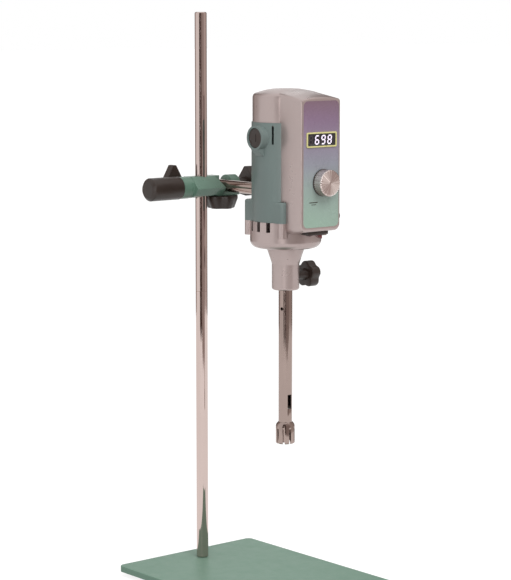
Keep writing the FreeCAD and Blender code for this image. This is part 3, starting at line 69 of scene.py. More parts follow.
# %% [markdown]
# Most parts of a machine like this are turned, moulded in simple blocks, or cut from flat outlines. Three
# helpers cover that: a bar between two points, a block between two corners, and a profile spun about an
# axis. Each one starts from a primitive, and puts its place into the mesh so that patterns stay on it.
# %% Bars and blocks
def fresh():
    if bpy.context.mode != "OBJECT":
        bpy.ops.object.mode_set(mode="OBJECT")
    bpy.ops.object.select_all(action="DESELECT")


def pick(piece):
    fresh()
    piece.select_set(True)
    bpy.context.view_layer.objects.active = piece


def settle(name):
    piece = bpy.context.object
    piece.name = piece.data.name = name
    bpy.ops.object.transform_apply(location=True, rotation=True, scale=True)
    return piece


def bar(name, radius, start, end, sides=64):
    fresh()
    start, end = Vector(start), Vector(end)
    turn = (end - start).to_track_quat("Z", "Y").to_euler()
    bpy.ops.mesh.primitive_cylinder_add(vertices=sides, radius=radius * MM, depth=(end - start).length,
                                        location=(start + end) / 2, rotation=turn)
    return settle(name)


def block(name, low, high):
    fresh()
    low, high = Vector(low), Vector(high)
    bpy.ops.mesh.primitive_cube_add(size=1, location=(low + high) / 2, scale=high - low)
    return settle(name)


# %% [markdown]
# A turned part is drawn as half of its outline and spun, as on a lathe. One point is extruded from corner
# to corner, closed back on its start where the part is hollow, and the spin makes the skin.
# %% Turned parts
def spun(name, corners, origin, axis=(0, 0, 1), out=(1, 0, 0), ring=False, steps=96):
    fresh()
    origin, axis, out = Vector(origin), Vector(axis).normalized(), Vector(out).normalized()
    places = [origin + (out * r + axis * h) * MM for r, h in corners]
    bpy.ops.mesh.primitive_plane_add(size=MM, location=places[0])
    bpy.ops.object.transform_apply(location=True)
    bpy.ops.object.mode_set(mode="EDIT")
    bpy.ops.mesh.select_mode(type="VERT")
    bpy.ops.mesh.select_all(action="SELECT")
    bpy.ops.mesh.merge(type="CENTER")
    for near, far in zip(places, places[1:] + places[:1] * ring):
        bpy.ops.mesh.extrude_region_move(TRANSFORM_OT_translate={"value": far - near})
    bpy.ops.mesh.select_all(action="SELECT")
    bpy.ops.mesh.remove_doubles(threshold=1e-6)
    bpy.ops.mesh.spin(steps=steps, angle=math.tau, center=origin, axis=axis)
    bpy.ops.mesh.select_all(action="SELECT")
    bpy.ops.mesh.remove_doubles(threshold=2e-6)
    bpy.ops.mesh.normals_make_consistent(inside=False)
    bpy.ops.object.mode_set(mode="OBJECT")
    return settle(name)


def arc(centre, radius, first, last, steps=6):
    """Corners of a rounded stretch of an outline, with the angles in degrees."""
    turns = [math.radians(first + (last - first) * i / steps) for i in range(steps + 1)]
    return [(centre[0] + radius * math.cos(a), centre[1] + radius * math.sin(a)) for a in turns]


# %% [markdown]
# A flat outline that is drawn out to a thickness covers the wings, lobes, plates and panels. A filled
# circle with the right number of corners is added, each corner goes to its place, and the face is extruded.
# The outline lies in the plane of two directions, and the third says which way it grows.
# %% Outlines with a thickness
def prism(name, outline, thickness, origin, across=(1, 0, 0), up=(0, 0, 1)):
    fresh()
    across, up = Vector(across).normalized(), Vector(up).normalized()
    grow = across.cross(up)
    bpy.ops.mesh.primitive_circle_add(vertices=len(outline), radius=MM, fill_type="NGON")
    piece = bpy.context.object
    for corner, (a, b) in zip(piece.data.vertices, outline):
        corner.co = Vector(origin) + (across * a + up * b) * MM
    bpy.ops.object.mode_set(mode="EDIT")
    bpy.ops.mesh.select_mode(type="FACE")
    bpy.ops.mesh.select_all(action="SELECT")
    bpy.ops.mesh.extrude_region_move(TRANSFORM_OT_translate={"value": grow * thickness * MM})
    bpy.ops.mesh.select_all(action="SELECT")
    bpy.ops.mesh.normals_make_consistent(inside=False)
    bpy.ops.object.mode_set(mode="OBJECT")
    return settle(name)


def rounded_rectangle(left, right, low, high, corner):
    a, b, c, d = left + corner, right - corner, low + corner, high - corner
    return (arc((b, c), corner, -90, 0) + arc((b, d), corner, 0, 90)
            + arc((a, d), corner, 90, 180) + arc((a, c), corner, 180, 270))


# %% [markdown]
# Castings are several simple bodies run together with holes taken out. Boolean modifiers do both, and a
# narrow bevel afterwards gives every edge the small radius that paint and moulding leave, which is what
# catches the light.
# %% Joining, cutting and softening
def work(piece, tool, operation):
    pick(piece)
    step = piece.modifiers.new(operation, "BOOLEAN")
    step.operation, step.solver, step.object = operation, "EXACT", tool
    bpy.ops.object.modifier_apply(modifier=step.name)
    bpy.data.objects.remove(tool)


def fuse(piece, *others):
    for other in others:
        work(piece, other, "UNION")
    return piece


def take(piece, *tools):
    for tool in tools:
        work(piece, tool, "DIFFERENCE")
    return piece


def soften(piece, width, segments=3, angle=30):
    pick(piece)
    step = piece.modifiers.new("soften", "BEVEL")
    step.width, step.segments, step.limit_method = width * MM, segments, "ANGLE"
    step.angle_limit, step.use_clamp_overlap = math.radians(angle), True
    bpy.ops.object.modifier_apply(modifier=step.name)
    return piece


def round_edges(piece, wanted, radius, segments=6):
    """Round the edges whose two ends a test picks, given in millimetres from the tool's axis."""
    pick(piece)
    bpy.ops.object.mode_set(mode="EDIT")
    bpy.ops.mesh.select_mode(type="EDGE")
    bpy.ops.mesh.select_all(action="DESELECT")
    bpy.ops.object.mode_set(mode="OBJECT")
    spots = [vertex.co / MM - TOOL for vertex in piece.data.vertices]
    for edge in piece.data.edges:
        edge.select = wanted(*[spots[v] for v in edge.vertices])
    bpy.ops.object.mode_set(mode="EDIT")
    bpy.ops.mesh.bevel(offset=radius * MM, segments=segments, affect="EDGES")
    bpy.ops.object.mode_set(mode="OBJECT")
    return piece


def copied(piece, name, turn=0.0, about=(0, 0, 0), axis="Z", shift=(0, 0, 0)):
    twin = piece.copy()
    twin.data = piece.data.copy()
    twin.name = twin.data.name = name
    bpy.context.scene.collection.objects.link(twin)
    centre = Matrix.Translation(Vector(about))
    spin = Matrix.Rotation(math.radians(turn), 4, axis)
    twin.data.transform(Matrix.Translation(Vector(shift)) @ centre @ spin @ centre.inverted())
    return twin


def merged(name, pieces):
    pick(pieces[0])
    for piece in pieces[1:]:
        piece.select_set(True)
    bpy.ops.object.join()
    pieces[0].name = pieces[0].data.name = name
    return pieces[0]


# %% [markdown]
# Paint, plastic and metal are never quite even. Three node groups carry what they share: a fine grain for
# the bump, a slow drift of the colour, and a handled look that varies the gloss. Each group reads the
# place on the object, so the pattern stays put when a joint moves or the camera goes round.
# %% Shared surface effects
def colour(red, green, blue):
    """A colour as it is read from a picture, made linear for the shader."""
    steps = [c / 255 for c in (red, green, blue)]
    return tuple(s / 12.92 if s <= 0.04045 else ((s + 0.055) / 1.055) ** 2.4 for s in steps) + (1.0,)


def group(name, inputs, outputs):
    made = bpy.data.node_groups.new(name, "ShaderNodeTree")
    for label, kind, start in inputs:
        made.interface.new_socket(label, in_out="INPUT", socket_type=kind).default_value = start
    for label, kind in outputs:
        made.interface.new_socket(label, in_out="OUTPUT", socket_type=kind)
    into = made.nodes.new("NodeGroupInput")
    out = made.nodes.new("NodeGroupOutput")
    place = made.nodes.new("ShaderNodeTexCoord")
    return made, into.outputs, out.inputs, place.outputs["Object"]


def node_in(tree, kind, **values):
    made = tree.nodes.new(kind)
    for key, value in values.items():
        if key in made.inputs:
            made.inputs[key].default_value = value
        else:
            setattr(made, key, value)
    return made


def build_grain():
    tree, given, result, place = group(
        "fine_grain", [("Size", "NodeSocketFloat", 1500.0), ("Stretch", "NodeSocketVector", (1, 1, 1))],
        [("Height", "NodeSocketFloat")])
    stretch = node_in(tree, "ShaderNodeVectorMath", operation="MULTIPLY")
    noise = node_in(tree, "ShaderNodeTexNoise", Detail=3.0, Roughness=0.6)
    tree.links.new(place, stretch.inputs[0])
    tree.links.new(given["Stretch"], stretch.inputs[1])
    tree.links.new(stretch.outputs[0], noise.inputs["Vector"])
    tree.links.new(given["Size"], noise.inputs["Scale"])
    tree.links.new(noise.outputs["Fac"], result["Height"])
    return tree


def build_drift():
    tree, given, result, place = group(
        "colour_drift", [("Light", "NodeSocketColor", (1, 1, 1, 1)), ("Dark", "NodeSocketColor", (0, 0, 0, 1)),
                         ("Size", "NodeSocketFloat", 25.0), ("Speckle", "NodeSocketFloat", 0.3)],
        [("Color", "NodeSocketColor")])
    slow = node_in(tree, "ShaderNodeTexNoise", Detail=4.0, Roughness=0.55)
    fine = node_in(tree, "ShaderNodeTexNoise", Scale=2600.0, Detail=2.0)
    weigh = node_in(tree, "ShaderNodeMix", data_type="FLOAT")
    blend = node_in(tree, "ShaderNodeMix", data_type="RGBA")
    tree.links.new(place, slow.inputs["Vector"])
    tree.links.new(place, fine.inputs["Vector"])
    tree.links.new(given["Size"], slow.inputs["Scale"])
    tree.links.new(given["Speckle"], weigh.inputs["Factor"])
    tree.links.new(slow.outputs["Fac"], weigh.inputs["A"])
    tree.links.new(fine.outputs["Fac"], weigh.inputs["B"])
    tree.links.new(weigh.outputs["Result"], blend.inputs["Factor"])
    tree.links.new(given["Dark"], blend.inputs[6])
    tree.links.new(given["Light"], blend.inputs[7])
    tree.links.new(blend.outputs[2], result["Color"])
    return tree


def build_handling():
    tree, given, result, place = group(
        "handled_gloss", [("Low", "NodeSocketFloat", 0.3), ("High", "NodeSocketFloat", 0.5),
                          ("Size", "NodeSocketFloat", 60.0)], [("Roughness", "NodeSocketFloat")])
    noise = node_in(tree, "ShaderNodeTexNoise", Detail=5.0, Roughness=0.65, Distortion=0.4)
    spread = node_in(tree, "ShaderNodeMapRange")
    spread.inputs["From Min"].default_value = 0.3
    spread.inputs["From Max"].default_value = 0.7
    tree.links.new(place, noise.inputs["Vector"])
    tree.links.new(given["Size"], noise.inputs["Scale"])
    tree.links.new(noise.outputs["Fac"], spread.inputs["Value"])
    tree.links.new(given["Low"], spread.inputs["To Min"])
    tree.links.new(given["High"], spread.inputs["To Max"])
    tree.links.new(spread.outputs["Result"], result["Roughness"])
    return tree


GRAIN, DRIFT, HANDLING = build_grain(), build_drift(), build_handling()
print("shared effects:", GRAIN.name, DRIFT.name, HANDLING.name)


# %% [markdown]
# Every finish is then one Principled shader with those three groups plugged in. The two colours are the
# lightest and darkest the finish shows, the two gloss values its cleanest and most handled places, and the
# grain gives orange peel on paint, pores on moulded plastic or fine lines along turned metal.
# %% A finish from two colours, two gloss values and a grain
def finish(name, light, dark, gloss, metal=0.0, size=25.0, speckle=0.3, grain=1500.0, stretch=(1, 1, 1),
           bump=0.1, depth=0.05, coat=0.0, ior=1.5):
    made = bpy.data.materials.new(name)
    made.use_nodes = True
    tree = made.node_tree
    shader = tree.nodes["Principled BSDF"]
    shader.inputs["Metallic"].default_value = metal
    shader.inputs["IOR"].default_value = ior
    shader.inputs["Coat Weight"].default_value = coat
    shader.inputs["Coat Roughness"].default_value = 0.15
    tone = node_in(tree, "ShaderNodeGroup", node_tree=DRIFT)
    tone.inputs["Light"].default_value, tone.inputs["Dark"].default_value = colour(*light), colour(*dark)
    tone.inputs["Size"].default_value, tone.inputs["Speckle"].default_value = size, speckle
    wear = node_in(tree, "ShaderNodeGroup", node_tree=HANDLING)
    wear.inputs["Low"].default_value, wear.inputs["High"].default_value = gloss
    relief = node_in(tree, "ShaderNodeGroup", node_tree=GRAIN)
    relief.inputs["Size"].default_value, relief.inputs["Stretch"].default_value = grain, stretch
    lift = node_in(tree, "ShaderNodeBump", Strength=bump, Distance=depth * MM)
    tree.links.new(tone.outputs["Color"], shader.inputs["Base Color"])
    tree.links.new(wear.outputs["Roughness"], shader.inputs["Roughness"])
    tree.links.new(relief.outputs["Height"], lift.inputs["Height"])
    tree.links.new(lift.outputs["Normal"], shader.inputs["Normal"])
    return made


FINISHES = {
    "plate_paint": finish("sage_plate_paint", (126, 158, 141), (118, 148, 131), (0.34, 0.46), size=6, grain=700,
                          bump=0.12, depth=0.08, ior=1.22),
    "rubber": finish("black_rubber", (48, 45, 43), (32, 30, 29), (0.7, 0.9), grain=2500, bump=0.3),
    "chrome": finish("polished_chrome", (206, 188, 182), (192, 174, 168), (0.04, 0.1), metal=1.0, size=9,
                     speckle=0.1, grain=900, stretch=(1, 1, 0.05), bump=0.02, depth=0.02),
    # the rod's chrome is the pole's chrome darkened as painted shade
    "rod_chrome_painted_shade": finish("duller_chrome_painted_shade", (172, 154, 146), (152, 135, 128), (0.08, 0.16), metal=1.0, size=9,
                         speckle=0.1, grain=900, stretch=(1, 0.05, 1), bump=0.02, depth=0.02),
    "zinc_steel": finish("zinc_plated_steel", (176, 174, 168), (142, 139, 132), (0.28, 0.42), metal=1.0, size=90,
                         grain=1800, bump=0.1),
    "brass": finish("turned_brass", (196, 160, 92), (160, 122, 62), (0.25, 0.4), metal=1.0, size=120, bump=0.1),
    "clamp_paint": finish("green_casting_paint", (108, 140, 123), (90, 119, 103), (0.24, 0.38), size=40, speckle=0.4,
                          grain=420, bump=0.35, depth=0.15, coat=0.1),
    "black_plastic": finish("black_moulded_plastic", (56, 43, 37), (40, 30, 25), (0.3, 0.44), size=45, grain=1900,
                            bump=0.25, depth=0.06),
    "shell_paint": finish("grey_green_shell_paint", (120, 135, 132), (109, 123, 120), (0.34, 0.48), size=14,
                          grain=1300, bump=0.2, depth=0.06, coat=0.08),
    "silver_paint": finish("silver_flake_paint", (194, 177, 174), (169, 154, 151), (0.26, 0.36), metal=0.66, size=16,
                           speckle=0.65, grain=1700, bump=0.16, depth=0.05, coat=0.12),
    "red_rocker": finish("dark_red_rocker", (128, 44, 44), (98, 30, 32), (0.2, 0.32), size=60, bump=0.08),
    "yellow_frame": finish("pale_yellow_frame", (232, 226, 158), (218, 211, 142), (0.3, 0.42), size=50, bump=0.08),
    "dark_window": finish("smoked_lens", (22, 20, 30), (12, 11, 18), (0.05, 0.12), size=40, bump=0.01, coat=0.3),
    "circuit_board": finish("green_board_lacquer", (44, 98, 60), (30, 76, 46), (0.3, 0.45), size=140, bump=0.1),
    "board_parts": finish("small_board_parts", (70, 68, 66), (38, 37, 40), (0.4, 0.6), size=300, bump=0.1),
    "lamination": finish("stacked_laminations", (120, 118, 116), (78, 76, 75), (0.4, 0.6), metal=0.9, size=60,
                         grain=1000, stretch=(0.02, 0.02, 1.6), bump=0.5, depth=0.2),
    "copper": finish("enamelled_copper", (190, 110, 66), (146, 78, 44), (0.25, 0.45), metal=0.9, size=200,
                     grain=1200, stretch=(0.3, 0.3, 1.5), bump=0.4, depth=0.2),
    "ground_steel": finish("ground_steel", (178, 176, 172), (150, 147, 143), (0.16, 0.28), metal=1.0, size=60,
                           grain=2400, stretch=(1, 1, 8), bump=0.08),
    "cast_bracket": finish("bare_casting", (160, 156, 150), (130, 126, 120), (0.45, 0.6), metal=0.8, size=60,
                           grain=700, bump=0.3, depth=0.15),
    "fan_plastic": finish("grey_fan_plastic", (84, 86, 84), (62, 64, 62), (0.4, 0.55), size=60, bump=0.15),
    "carbon": finish("pressed_carbon", (44, 43, 43), (26, 26, 27), (0.5, 0.7), size=400, bump=0.2),
    "tool_steel": finish("bright_stainless_tool", (172, 154, 147), (150, 133, 126), (0.1, 0.2), metal=1.0, size=30,
                         grain=1600, stretch=(1, 1, 5), bump=0.06, depth=0.03),
    "bush_plastic": finish("white_bush_plastic", (228, 226, 218), (206, 203, 194), (0.4, 0.55), size=80, bump=0.1),
}
print(len(FINISHES), "finishes")

# %% [markdown]
# The front label is a thin film whose colour runs from violet at the top to mint at the bottom. A gradient
# on the height gives that, read from the object's own coordinates, and a clear coat makes it a film.
# %% The label's colour run
LABEL_LOW, LABEL_HIGH = -41.0, 120.0


def label_film():
    made = finish("violet_to_mint_film", (150, 150, 160), (146, 146, 156), (0.22, 0.32), size=20, grain=900,
                  bump=0.05, depth=0.03, coat=0.3)
    tree = made.node_tree
    shader = tree.nodes["Principled BSDF"]
    place = node_in(tree, "ShaderNodeTexCoord")
    height = node_in(tree, "ShaderNodeSeparateXYZ")
    run = node_in(tree, "ShaderNodeMapRange")
    run.inputs["From Min"].default_value = (ROD_HEIGHT + LABEL_LOW) * MM
    run.inputs["From Max"].default_value = (ROD_HEIGHT + LABEL_HIGH) * MM
    ramp = tree.nodes.new("ShaderNodeValToRGB")
    stops = [(0.0, (160, 188, 170)), (0.3, (156, 174, 168)), (0.5, (150, 152, 164)), (0.72, (148, 130, 154)),
             (0.86, (138, 112, 138)), (1.0, (126, 98, 114))]
    while len(ramp.color_ramp.elements) < len(stops):
        ramp.color_ramp.elements.new(0.5)
    for stop, (where, shade) in zip(ramp.color_ramp.elements, stops):
        stop.position, stop.color = where, colour(*shade)
    speck = node_in(tree, "ShaderNodeTexNoise", Scale=1800.0, Detail=2.0)
    dust = node_in(tree, "ShaderNodeMix", data_type="RGBA", blend_type="SOFT_LIGHT")
    dust.inputs["Factor"].default_value = 0.12
    tree.links.new(place.outputs["Object"], height.inputs[0])
    tree.links.new(height.outputs["Z"], run.inputs["Value"])
    tree.links.new(run.outputs["Result"], ramp.inputs["Fac"])
    tree.links.new(place.outputs["Object"], speck.inputs["Vector"])
    tree.links.new(ramp.outputs["Color"], dust.inputs[6])
    tree.links.new(speck.outputs["Color"], dust.inputs[7])
    tree.links.new(dust.outputs[2], shader.inputs["Base Color"])
    return made


FINISHES["label"] = label_film()

# %% [markdown]
# The turned end of the dial shows two opposite bright fans, as lathe marks do under a lamp. They are a painted
# highlight in the base colour: the angle about the dial's centre gives them, and a fine angular noise breaks them up.
# %% The dial's turned face with its painted highlight
DIAL = (37.0, 0.0, 538.5)


def turned_face_painted_highlight():
    made = finish("spun_aluminium_painted_highlight", (240, 226, 222), (214, 198, 194), (0.2, 0.3), metal=1.0, size=150, grain=1500,
                  bump=0.1)
    tree = made.node_tree
    shader = tree.nodes["Principled BSDF"]
    place = node_in(tree, "ShaderNodeTexCoord")
    centred = node_in(tree, "ShaderNodeVectorMath", operation="SUBTRACT")
    centred.inputs[1].default_value = Vector(DIAL) * MM
    split = node_in(tree, "ShaderNodeSeparateXYZ")
    angle = node_in(tree, "ShaderNodeMath", operation="ARCTAN2")
    doubled = node_in(tree, "ShaderNodeMath", operation="MULTIPLY_ADD")
    doubled.inputs[1].default_value, doubled.inputs[2].default_value = 2.0, 1.2
    wave = node_in(tree, "ShaderNodeMath", operation="COSINE")
    marks = node_in(tree, "ShaderNodeTexNoise", noise_dimensions="1D", Scale=9.0, Detail=4.0)
    total = node_in(tree, "ShaderNodeMath", operation="MULTIPLY_ADD")
    total.inputs[1].default_value = 0.22
    # painted highlight: the ramp runs from the darker metal to the near-white of the fans
    ramp = tree.nodes.new("ShaderNodeValToRGB")
    for stop, (where, shade) in zip(ramp.color_ramp.elements, [(0.3, (186, 168, 163)), (0.75, (250, 240, 236))]):
        stop.position, stop.color = where, colour(*shade)
    tree.links.new(place.outputs["Object"], centred.inputs[0])
    tree.links.new(centred.outputs[0], split.inputs[0])
    tree.links.new(split.outputs["Z"], angle.inputs[0])
    tree.links.new(split.outputs["X"], angle.inputs[1])
    tree.links.new(angle.outputs[0], doubled.inputs[0])
    tree.links.new(angle.outputs[0], marks.inputs["W"])
    tree.links.new(doubled.outputs[0], wave.inputs[0])
    tree.links.new(wave.outputs[0], total.inputs[0])
    tree.links.new(marks.outputs["Fac"], total.inputs[2])
    tree.links.new(total.outputs[0], ramp.inputs["Fac"])
    tree.links.new(ramp.outputs["Color"], shader.inputs["Base Color"])
    return made


FINISHES["knob_metal"] = turned_face_painted_highlight()


# %% [markdown]
# A finished piece gets smooth shading with its true edges kept, its finish, the body it rides on and the
# solid it stands for, all in one call.
# %% Handing a piece over
def hand_over(piece, body, slot, *stands_for, material=None, angle=32):
    pick(piece)
    bpy.ops.object.shade_smooth_by_angle(angle=math.radians(angle))
    piece.data.materials.clear()
    piece.data.materials.append(material or FINISHES[slot])
    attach(piece, body)
    if stands_for:
        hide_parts(*stands_for)
    print(piece.name, len(piece.data.polygons), "faces")
    return piece


# %% [markdown]
# ## The stand
# The pole is a chromed bar with a domed end and a fine line half way up, where its two lengths meet. It is
# the brightest thing in the picture, so it has many sides and a smooth dome. The feet are moulded rubber with a ring round the foot.
# %% Pole and feet
pole = bar("pole", 8.0, from_pole(0, 0, -508.5), from_pole(0, 0, 231.5), sides=128)
pick(pole)
soften(pole, 2.2, segments=6, angle=60)
take(pole, spun("joint_line", [(7.8, -141), (8.2, -140.6), (8.2, -141.4)], from_pole(0, 0, 0), ring=True))
hand_over(pole, "column", "chrome", "column")

foot = spun("foot", [(2.02, 3.0), (4.6, 3.0), (4.6, 0.0)] + arc((6.3, 0.7), 0.7, -90, 0) + [(7.4, 3.6), (8.0, 4.0),
            (8.0, 6.0), (2.02, 6.0)], (91 * MM, 141 * MM, 0), ring=True, steps=48)
feet = [foot] + [copied(foot, "foot_%d" % i, shift=shift) for i, shift in
                 enumerate([(-182 * MM, 0, 0), (0, -282 * MM, 0), (-182 * MM, -282 * MM, 0)])]
hand_over(merged("feet", feet), "stand", "rubber", "rubber_feet")

# %% [markdown]
# ## The clamp
# The casting is a barrel on the left, a block with a slanted front facet, and an open channel on the right
# that carries the rod. It is built as the foundry pattern would be: the solid bodies first, then the cores.
# %% Clamp casting
nose = [(-21.5, -1.5), (-14.5, -11.2), (-7, -13.2), (9.5, -13.2), (14.5, -5), (14.5, 5), (9.5, 14), (-7, 14)]
casting = prism("clamp_casting", nose, 47.7, from_pole(-22, 0, 0), across=(0, 1, 0), up=(0, 0, 1))
slant = prism("slant", [(25.75, -1.5), (25.75, 28), (9.7, 28), (17.7, 14)], 15.1, from_pole(0, -6.5, 0))
take(casting, slant)
fuse(casting, bar("barrel", 14.5, from_pole(-38.5, 0, 0), from_pole(0, 0, 0), sides=96),
     block("bridge", from_pole(19.7, -11, -13.2), from_pole(56.8, 11, -8)),
     take(bar("cheek", 13.8, from_pole(42.3, 0, 0), from_pole(56.8, 0, 0), sides=96),
          block("flat", from_pole(42, -20, -20), from_pole(58, 20, -13.2))))
take(casting, bar("rod_channel", 8.3, from_pole(34, -30, 0), from_pole(34, 30, 0), sides=96),
     block("channel_top", from_pole(25.7, -30, 0), from_pole(42.3, 30, 30)),
     bar("pole_bore", 8.05, from_pole(0, 0, -30), from_pole(0, 0, 30), sides=96),
     bar("handle_bore", 5.05, from_pole(-42, 0, 0), from_pole(0, 0, 0)),
     bar("lock_bore", 3.05, from_pole(-31, 0, 0), from_pole(-31, 16, 0)),
     bar("wing_bore", 4.05, from_pole(42, 0, 0), from_pole(58, 0, 0)),
     bar("rest_bore", 3.05, from_pole(34, 0, -15), from_pole(34, 0, 0)))
soften(casting, 0.8, angle=24)
hand_over(casting, "clamp", "clamp_paint", "clamp_body", angle=28)

# %% [markdown]
# The long handle is turned, with a chamfered outer end. The three-cornered knobs behind the barrel and on
# the right are flat mouldings with rounded edges, each on a short stem.
# %% Handle and knobs of the clamp
handle = spun("pole_handle", [(0, 0), (14.1, 0), (14.9, 0.5), (15.3, 1.2), (15.3, 47.2), (14.8, 48.2),
                              (11.7, 51.1), (10.9, 51.5), (0, 51.5)], from_pole(-38.8, 0, 0), axis=(-1, 0, 0),
              out=(0, 0, 1))
hand_over(soften(handle, 0.5, segments=2, angle=25), "handle", "black_plastic", "column_handle", angle=40)


def corner_lobes(count, reach, tip, waist):
    outline = []
    for i in range(count):
        way = math.radians(90 + 360 * i / count)
        for side in (-tip, tip):
            outline.append((reach * math.cos(way) - side * math.sin(way), reach * math.sin(way) + side * math.cos(way)))
        gap = way + math.pi / count
        outline.append((waist * math.cos(gap), waist * math.sin(gap)))
    return outline


lock = prism("lock_knob_body", corner_lobes(3, 28.9, 3, 17), 11, from_pole(-31, 17.3, 0), across=(-1, 0, 0))
fuse(soften(lock, 1.4, segments=4), spun("lock_stem", [(0, 0), (8, 0), (9.5, 2.6), (0, 2.6)],
                                         from_pole(-31, 14.8, 0), axis=(0, 1, 0)))
hand_over(lock, "lock", "black_plastic", "lock_knob")

wing = prism("wing_knob", corner_lobes(3, 23.5, 3, 17), 11, from_pole(76.1, 0, 0), across=(0, 1, 0))
fuse(soften(wing, 1.4, segments=4), spun("wing_hub", [(0, 0), (8, 0), (9, 1), (9, 19.2), (0, 19.2)],
                                         from_pole(57.1, 0, 0), axis=(1, 0, 0), out=(0, 0, 1)))
hand_over(wing, "rod_wing", "black_plastic", "rod_wing_knob")


# %% [markdown]
# Star knobs are mouldings too. Their outline is a circle that dips a little between the lobes, so one
# formula draws any of them, and the far end can be drawn in to taper it.
# %% Star knobs
def star_outline(radius, dip, lobes, steps=120, lead=90):
    outline = []
    for i in range(steps):
        turn = math.tau * i / steps
        wave = 0.5 - 0.5 * math.cos(lobes * (turn - math.radians(lead)))
        reach = radius - dip * wave ** 1.6
        outline.append((reach * math.cos(turn), reach * math.sin(turn)))
    return outline


def draw_in(piece, direction, share, push):
    """Extrude the end face that looks along a direction, and shrink it."""
    pick(piece)
    bpy.ops.object.mode_set(mode="EDIT")
    bpy.ops.mesh.select_all(action="DESELECT")
    bpy.ops.object.mode_set(mode="OBJECT")
    way = Vector(direction)
    end = max(piece.data.polygons, key=lambda face: (round(face.normal.dot(way), 3), face.center.dot(way)))
    end.select = True
    bpy.ops.object.mode_set(mode="EDIT")
    bpy.ops.mesh.select_mode(type="FACE")
    bpy.ops.mesh.extrude_region_move(TRANSFORM_OT_translate={"value": way * push * MM})
    bpy.ops.transform.resize(value=(share, share, share))
    bpy.ops.object.mode_set(mode="OBJECT")
    return piece


rest = prism("rest_knob", star_outline(23.3, 3.6, 5), 4.5, from_pole(34, 0, -13.5), across=(1, 0, 0), up=(0, -1, 0))
draw_in(rest, (0, 0, -1), 0.78, 13.0)
hand_over(soften(rest, 1.2, segments=3, angle=40), "rod_rest", "black_plastic", "rod_rest_knob", angle=45)

tool_knob = prism("tool_knob", star_outline(17.5, 2.8, 5), 14, from_tool(33, 0, -110.8), across=(0, 1, 0))
fuse(soften(tool_knob, 1.6, segments=4, angle=50),
     spun("tool_knob_stem", [(0, 0), (6, 0), (6.4, 8), (8, 14.8), (0, 14.8)], from_tool(18.3, 0, -110.8),
          axis=(1, 0, 0), out=(0, 0, 1)))
hand_over(tool_knob, "tool_lock", "black_plastic", "holder_knob", angle=40)

# %% [markdown]
# The support rod is the pole's chromed bar again, with a small chamfer at each end. Its chrome is a darker copy of the
# pole's, painted shade for the darker reflections a level bar picks up.
# %% Support rod
rod = soften(bar("carrying_rod", 8.0, from_pole(34, 37, 0), from_pole(34, -90.7, 0), sides=128), 1.0, angle=60)
hand_over(rod, "rod", "chrome", "support_rod", material=FINISHES["rod_chrome_painted_shade"])

# %% [markdown]
# ## The motor shell
# One casting holds the motor: a round wall, a square flange with a lug at each corner, a boss on each side
# for the brushes with a web under it, and a boss at the back for the rod.
# %% Outside of the shell
shell = bar("green_shell", 44.5, from_tool(0, 0, -37), from_tool(0, 0, 91), sides=160)
flange = prism("flange", rounded_rectangle(-39.8, 39.8, -39.3, 39.3, 6.3), 27.4, from_tool(0, 0, -37),
               across=(1, 0, 0), up=(0, 1, 0))
round_edges(flange, lambda a, b: min(a.z, b.z) > -10, 3.0)
webs = [prism("web", [(s * 41.5, 71.6), (s * 52, 71.6), (s * 52, 57), (s * 49, 51.5), (s * 43, 47), (s * 41.5, 47)],
              16, from_tool(0, 8, 0)) for s in (-1, 1)]
fuse(shell, flange, *webs, bar("brush_boss", 15.6, from_tool(-53, 0, 71.6), from_tool(53, 0, 71.6), sides=96),
     bar("rod_boss", 14.0, from_tool(0, 0, 0), from_tool(0, 52, 0), sides=96))
print("shell outside:", len(shell.data.polygons), "faces")

# %% [markdown]
# The inside is hollow for the motor, with a short neck left standing for the rod. The narrow grooves beside
# the bosses are moulded marks, and the holes take the rod, the brushes and the four long screws.
# %% Inside of the shell
take(shell, bar("motor_room", 41.5, from_tool(0, 0, -38), from_tool(0, 0, 92), sides=160))
fuse(shell, bar("rod_neck", 11.0, from_tool(0, 37, 0), from_tool(0, 42.6, 0), sides=96))
take(shell, bar("rod_bore", 8.05, from_tool(0, 38.5, 0), from_tool(0, 53, 0), sides=96),
     bar("set_screw_bore", 2.52, from_tool(0, 48, 0), from_tool(0, 48, 15)),
     bar("left_seat", 12.95, from_tool(-54, 0, 71.6), from_tool(-47, 0, 71.6), sides=96),
     bar("right_seat", 12.95, from_tool(47, 0, 71.6), from_tool(54, 0, 71.6), sides=96),
     block("brush_way", from_tool(-50, -5.05, 66.55), from_tool(50, 5.05, 76.65)))
groove = block("groove", from_tool(40, -1.5, 63.5), from_tool(46.5, 1.5, 87.5))
take(shell, copied(groove, "groove_left", turn=207, about=from_tool(0, 0, 0)),
     copied(groove, "groove_right", turn=-27, about=from_tool(0, 0, 0)))
bpy.data.objects.remove(groove)
corners = [(sx * 33.5, sy * 33) for sx in (-1, 1) for sy in (-1, 1)]
take(shell, *[bar("screw_bore", 2.02, from_tool(x, y, -38), from_tool(x, y, -9), sides=24) for x, y in corners],
     *[bar("head_room", 3.9, from_tool(x, y, -12.3), from_tool(x, y, -9), sides=32) for x, y in corners])
soften(shell, 0.7, angle=28)
hand_over(shell, "mixer", "shell_paint", "motor_shell", angle=30)

# %% [markdown]
# The brush caps screw into the side bosses. Each is a thin disc with a raised rim and a slot for a coin.
# %% Brush caps
cap_corners = [(0, 0), (12.9, 0), (12.9, 4.1), (12.3, 4.8), (10.9, 4.8), (10.3, 4.0), (0, 4.0)]
caps = []
for side in (-1, 1):
    cap = spun("brush_cap", cap_corners, from_tool(side * 47, 0, 71.6), axis=(side, 0, 0), out=(0, 0, 1))
    near, far = sorted((side * 49.4, side * 52.5))
    take(cap, block("coin_slot", from_tool(near, -0.4, 66.6), from_tool(far, 0.4, 76.6)))
    caps.append(soften(cap, 0.25, segments=2))
hand_over(merged("brush_cap_pair", caps), "mixer", "black_plastic", "brush_caps", angle=40)

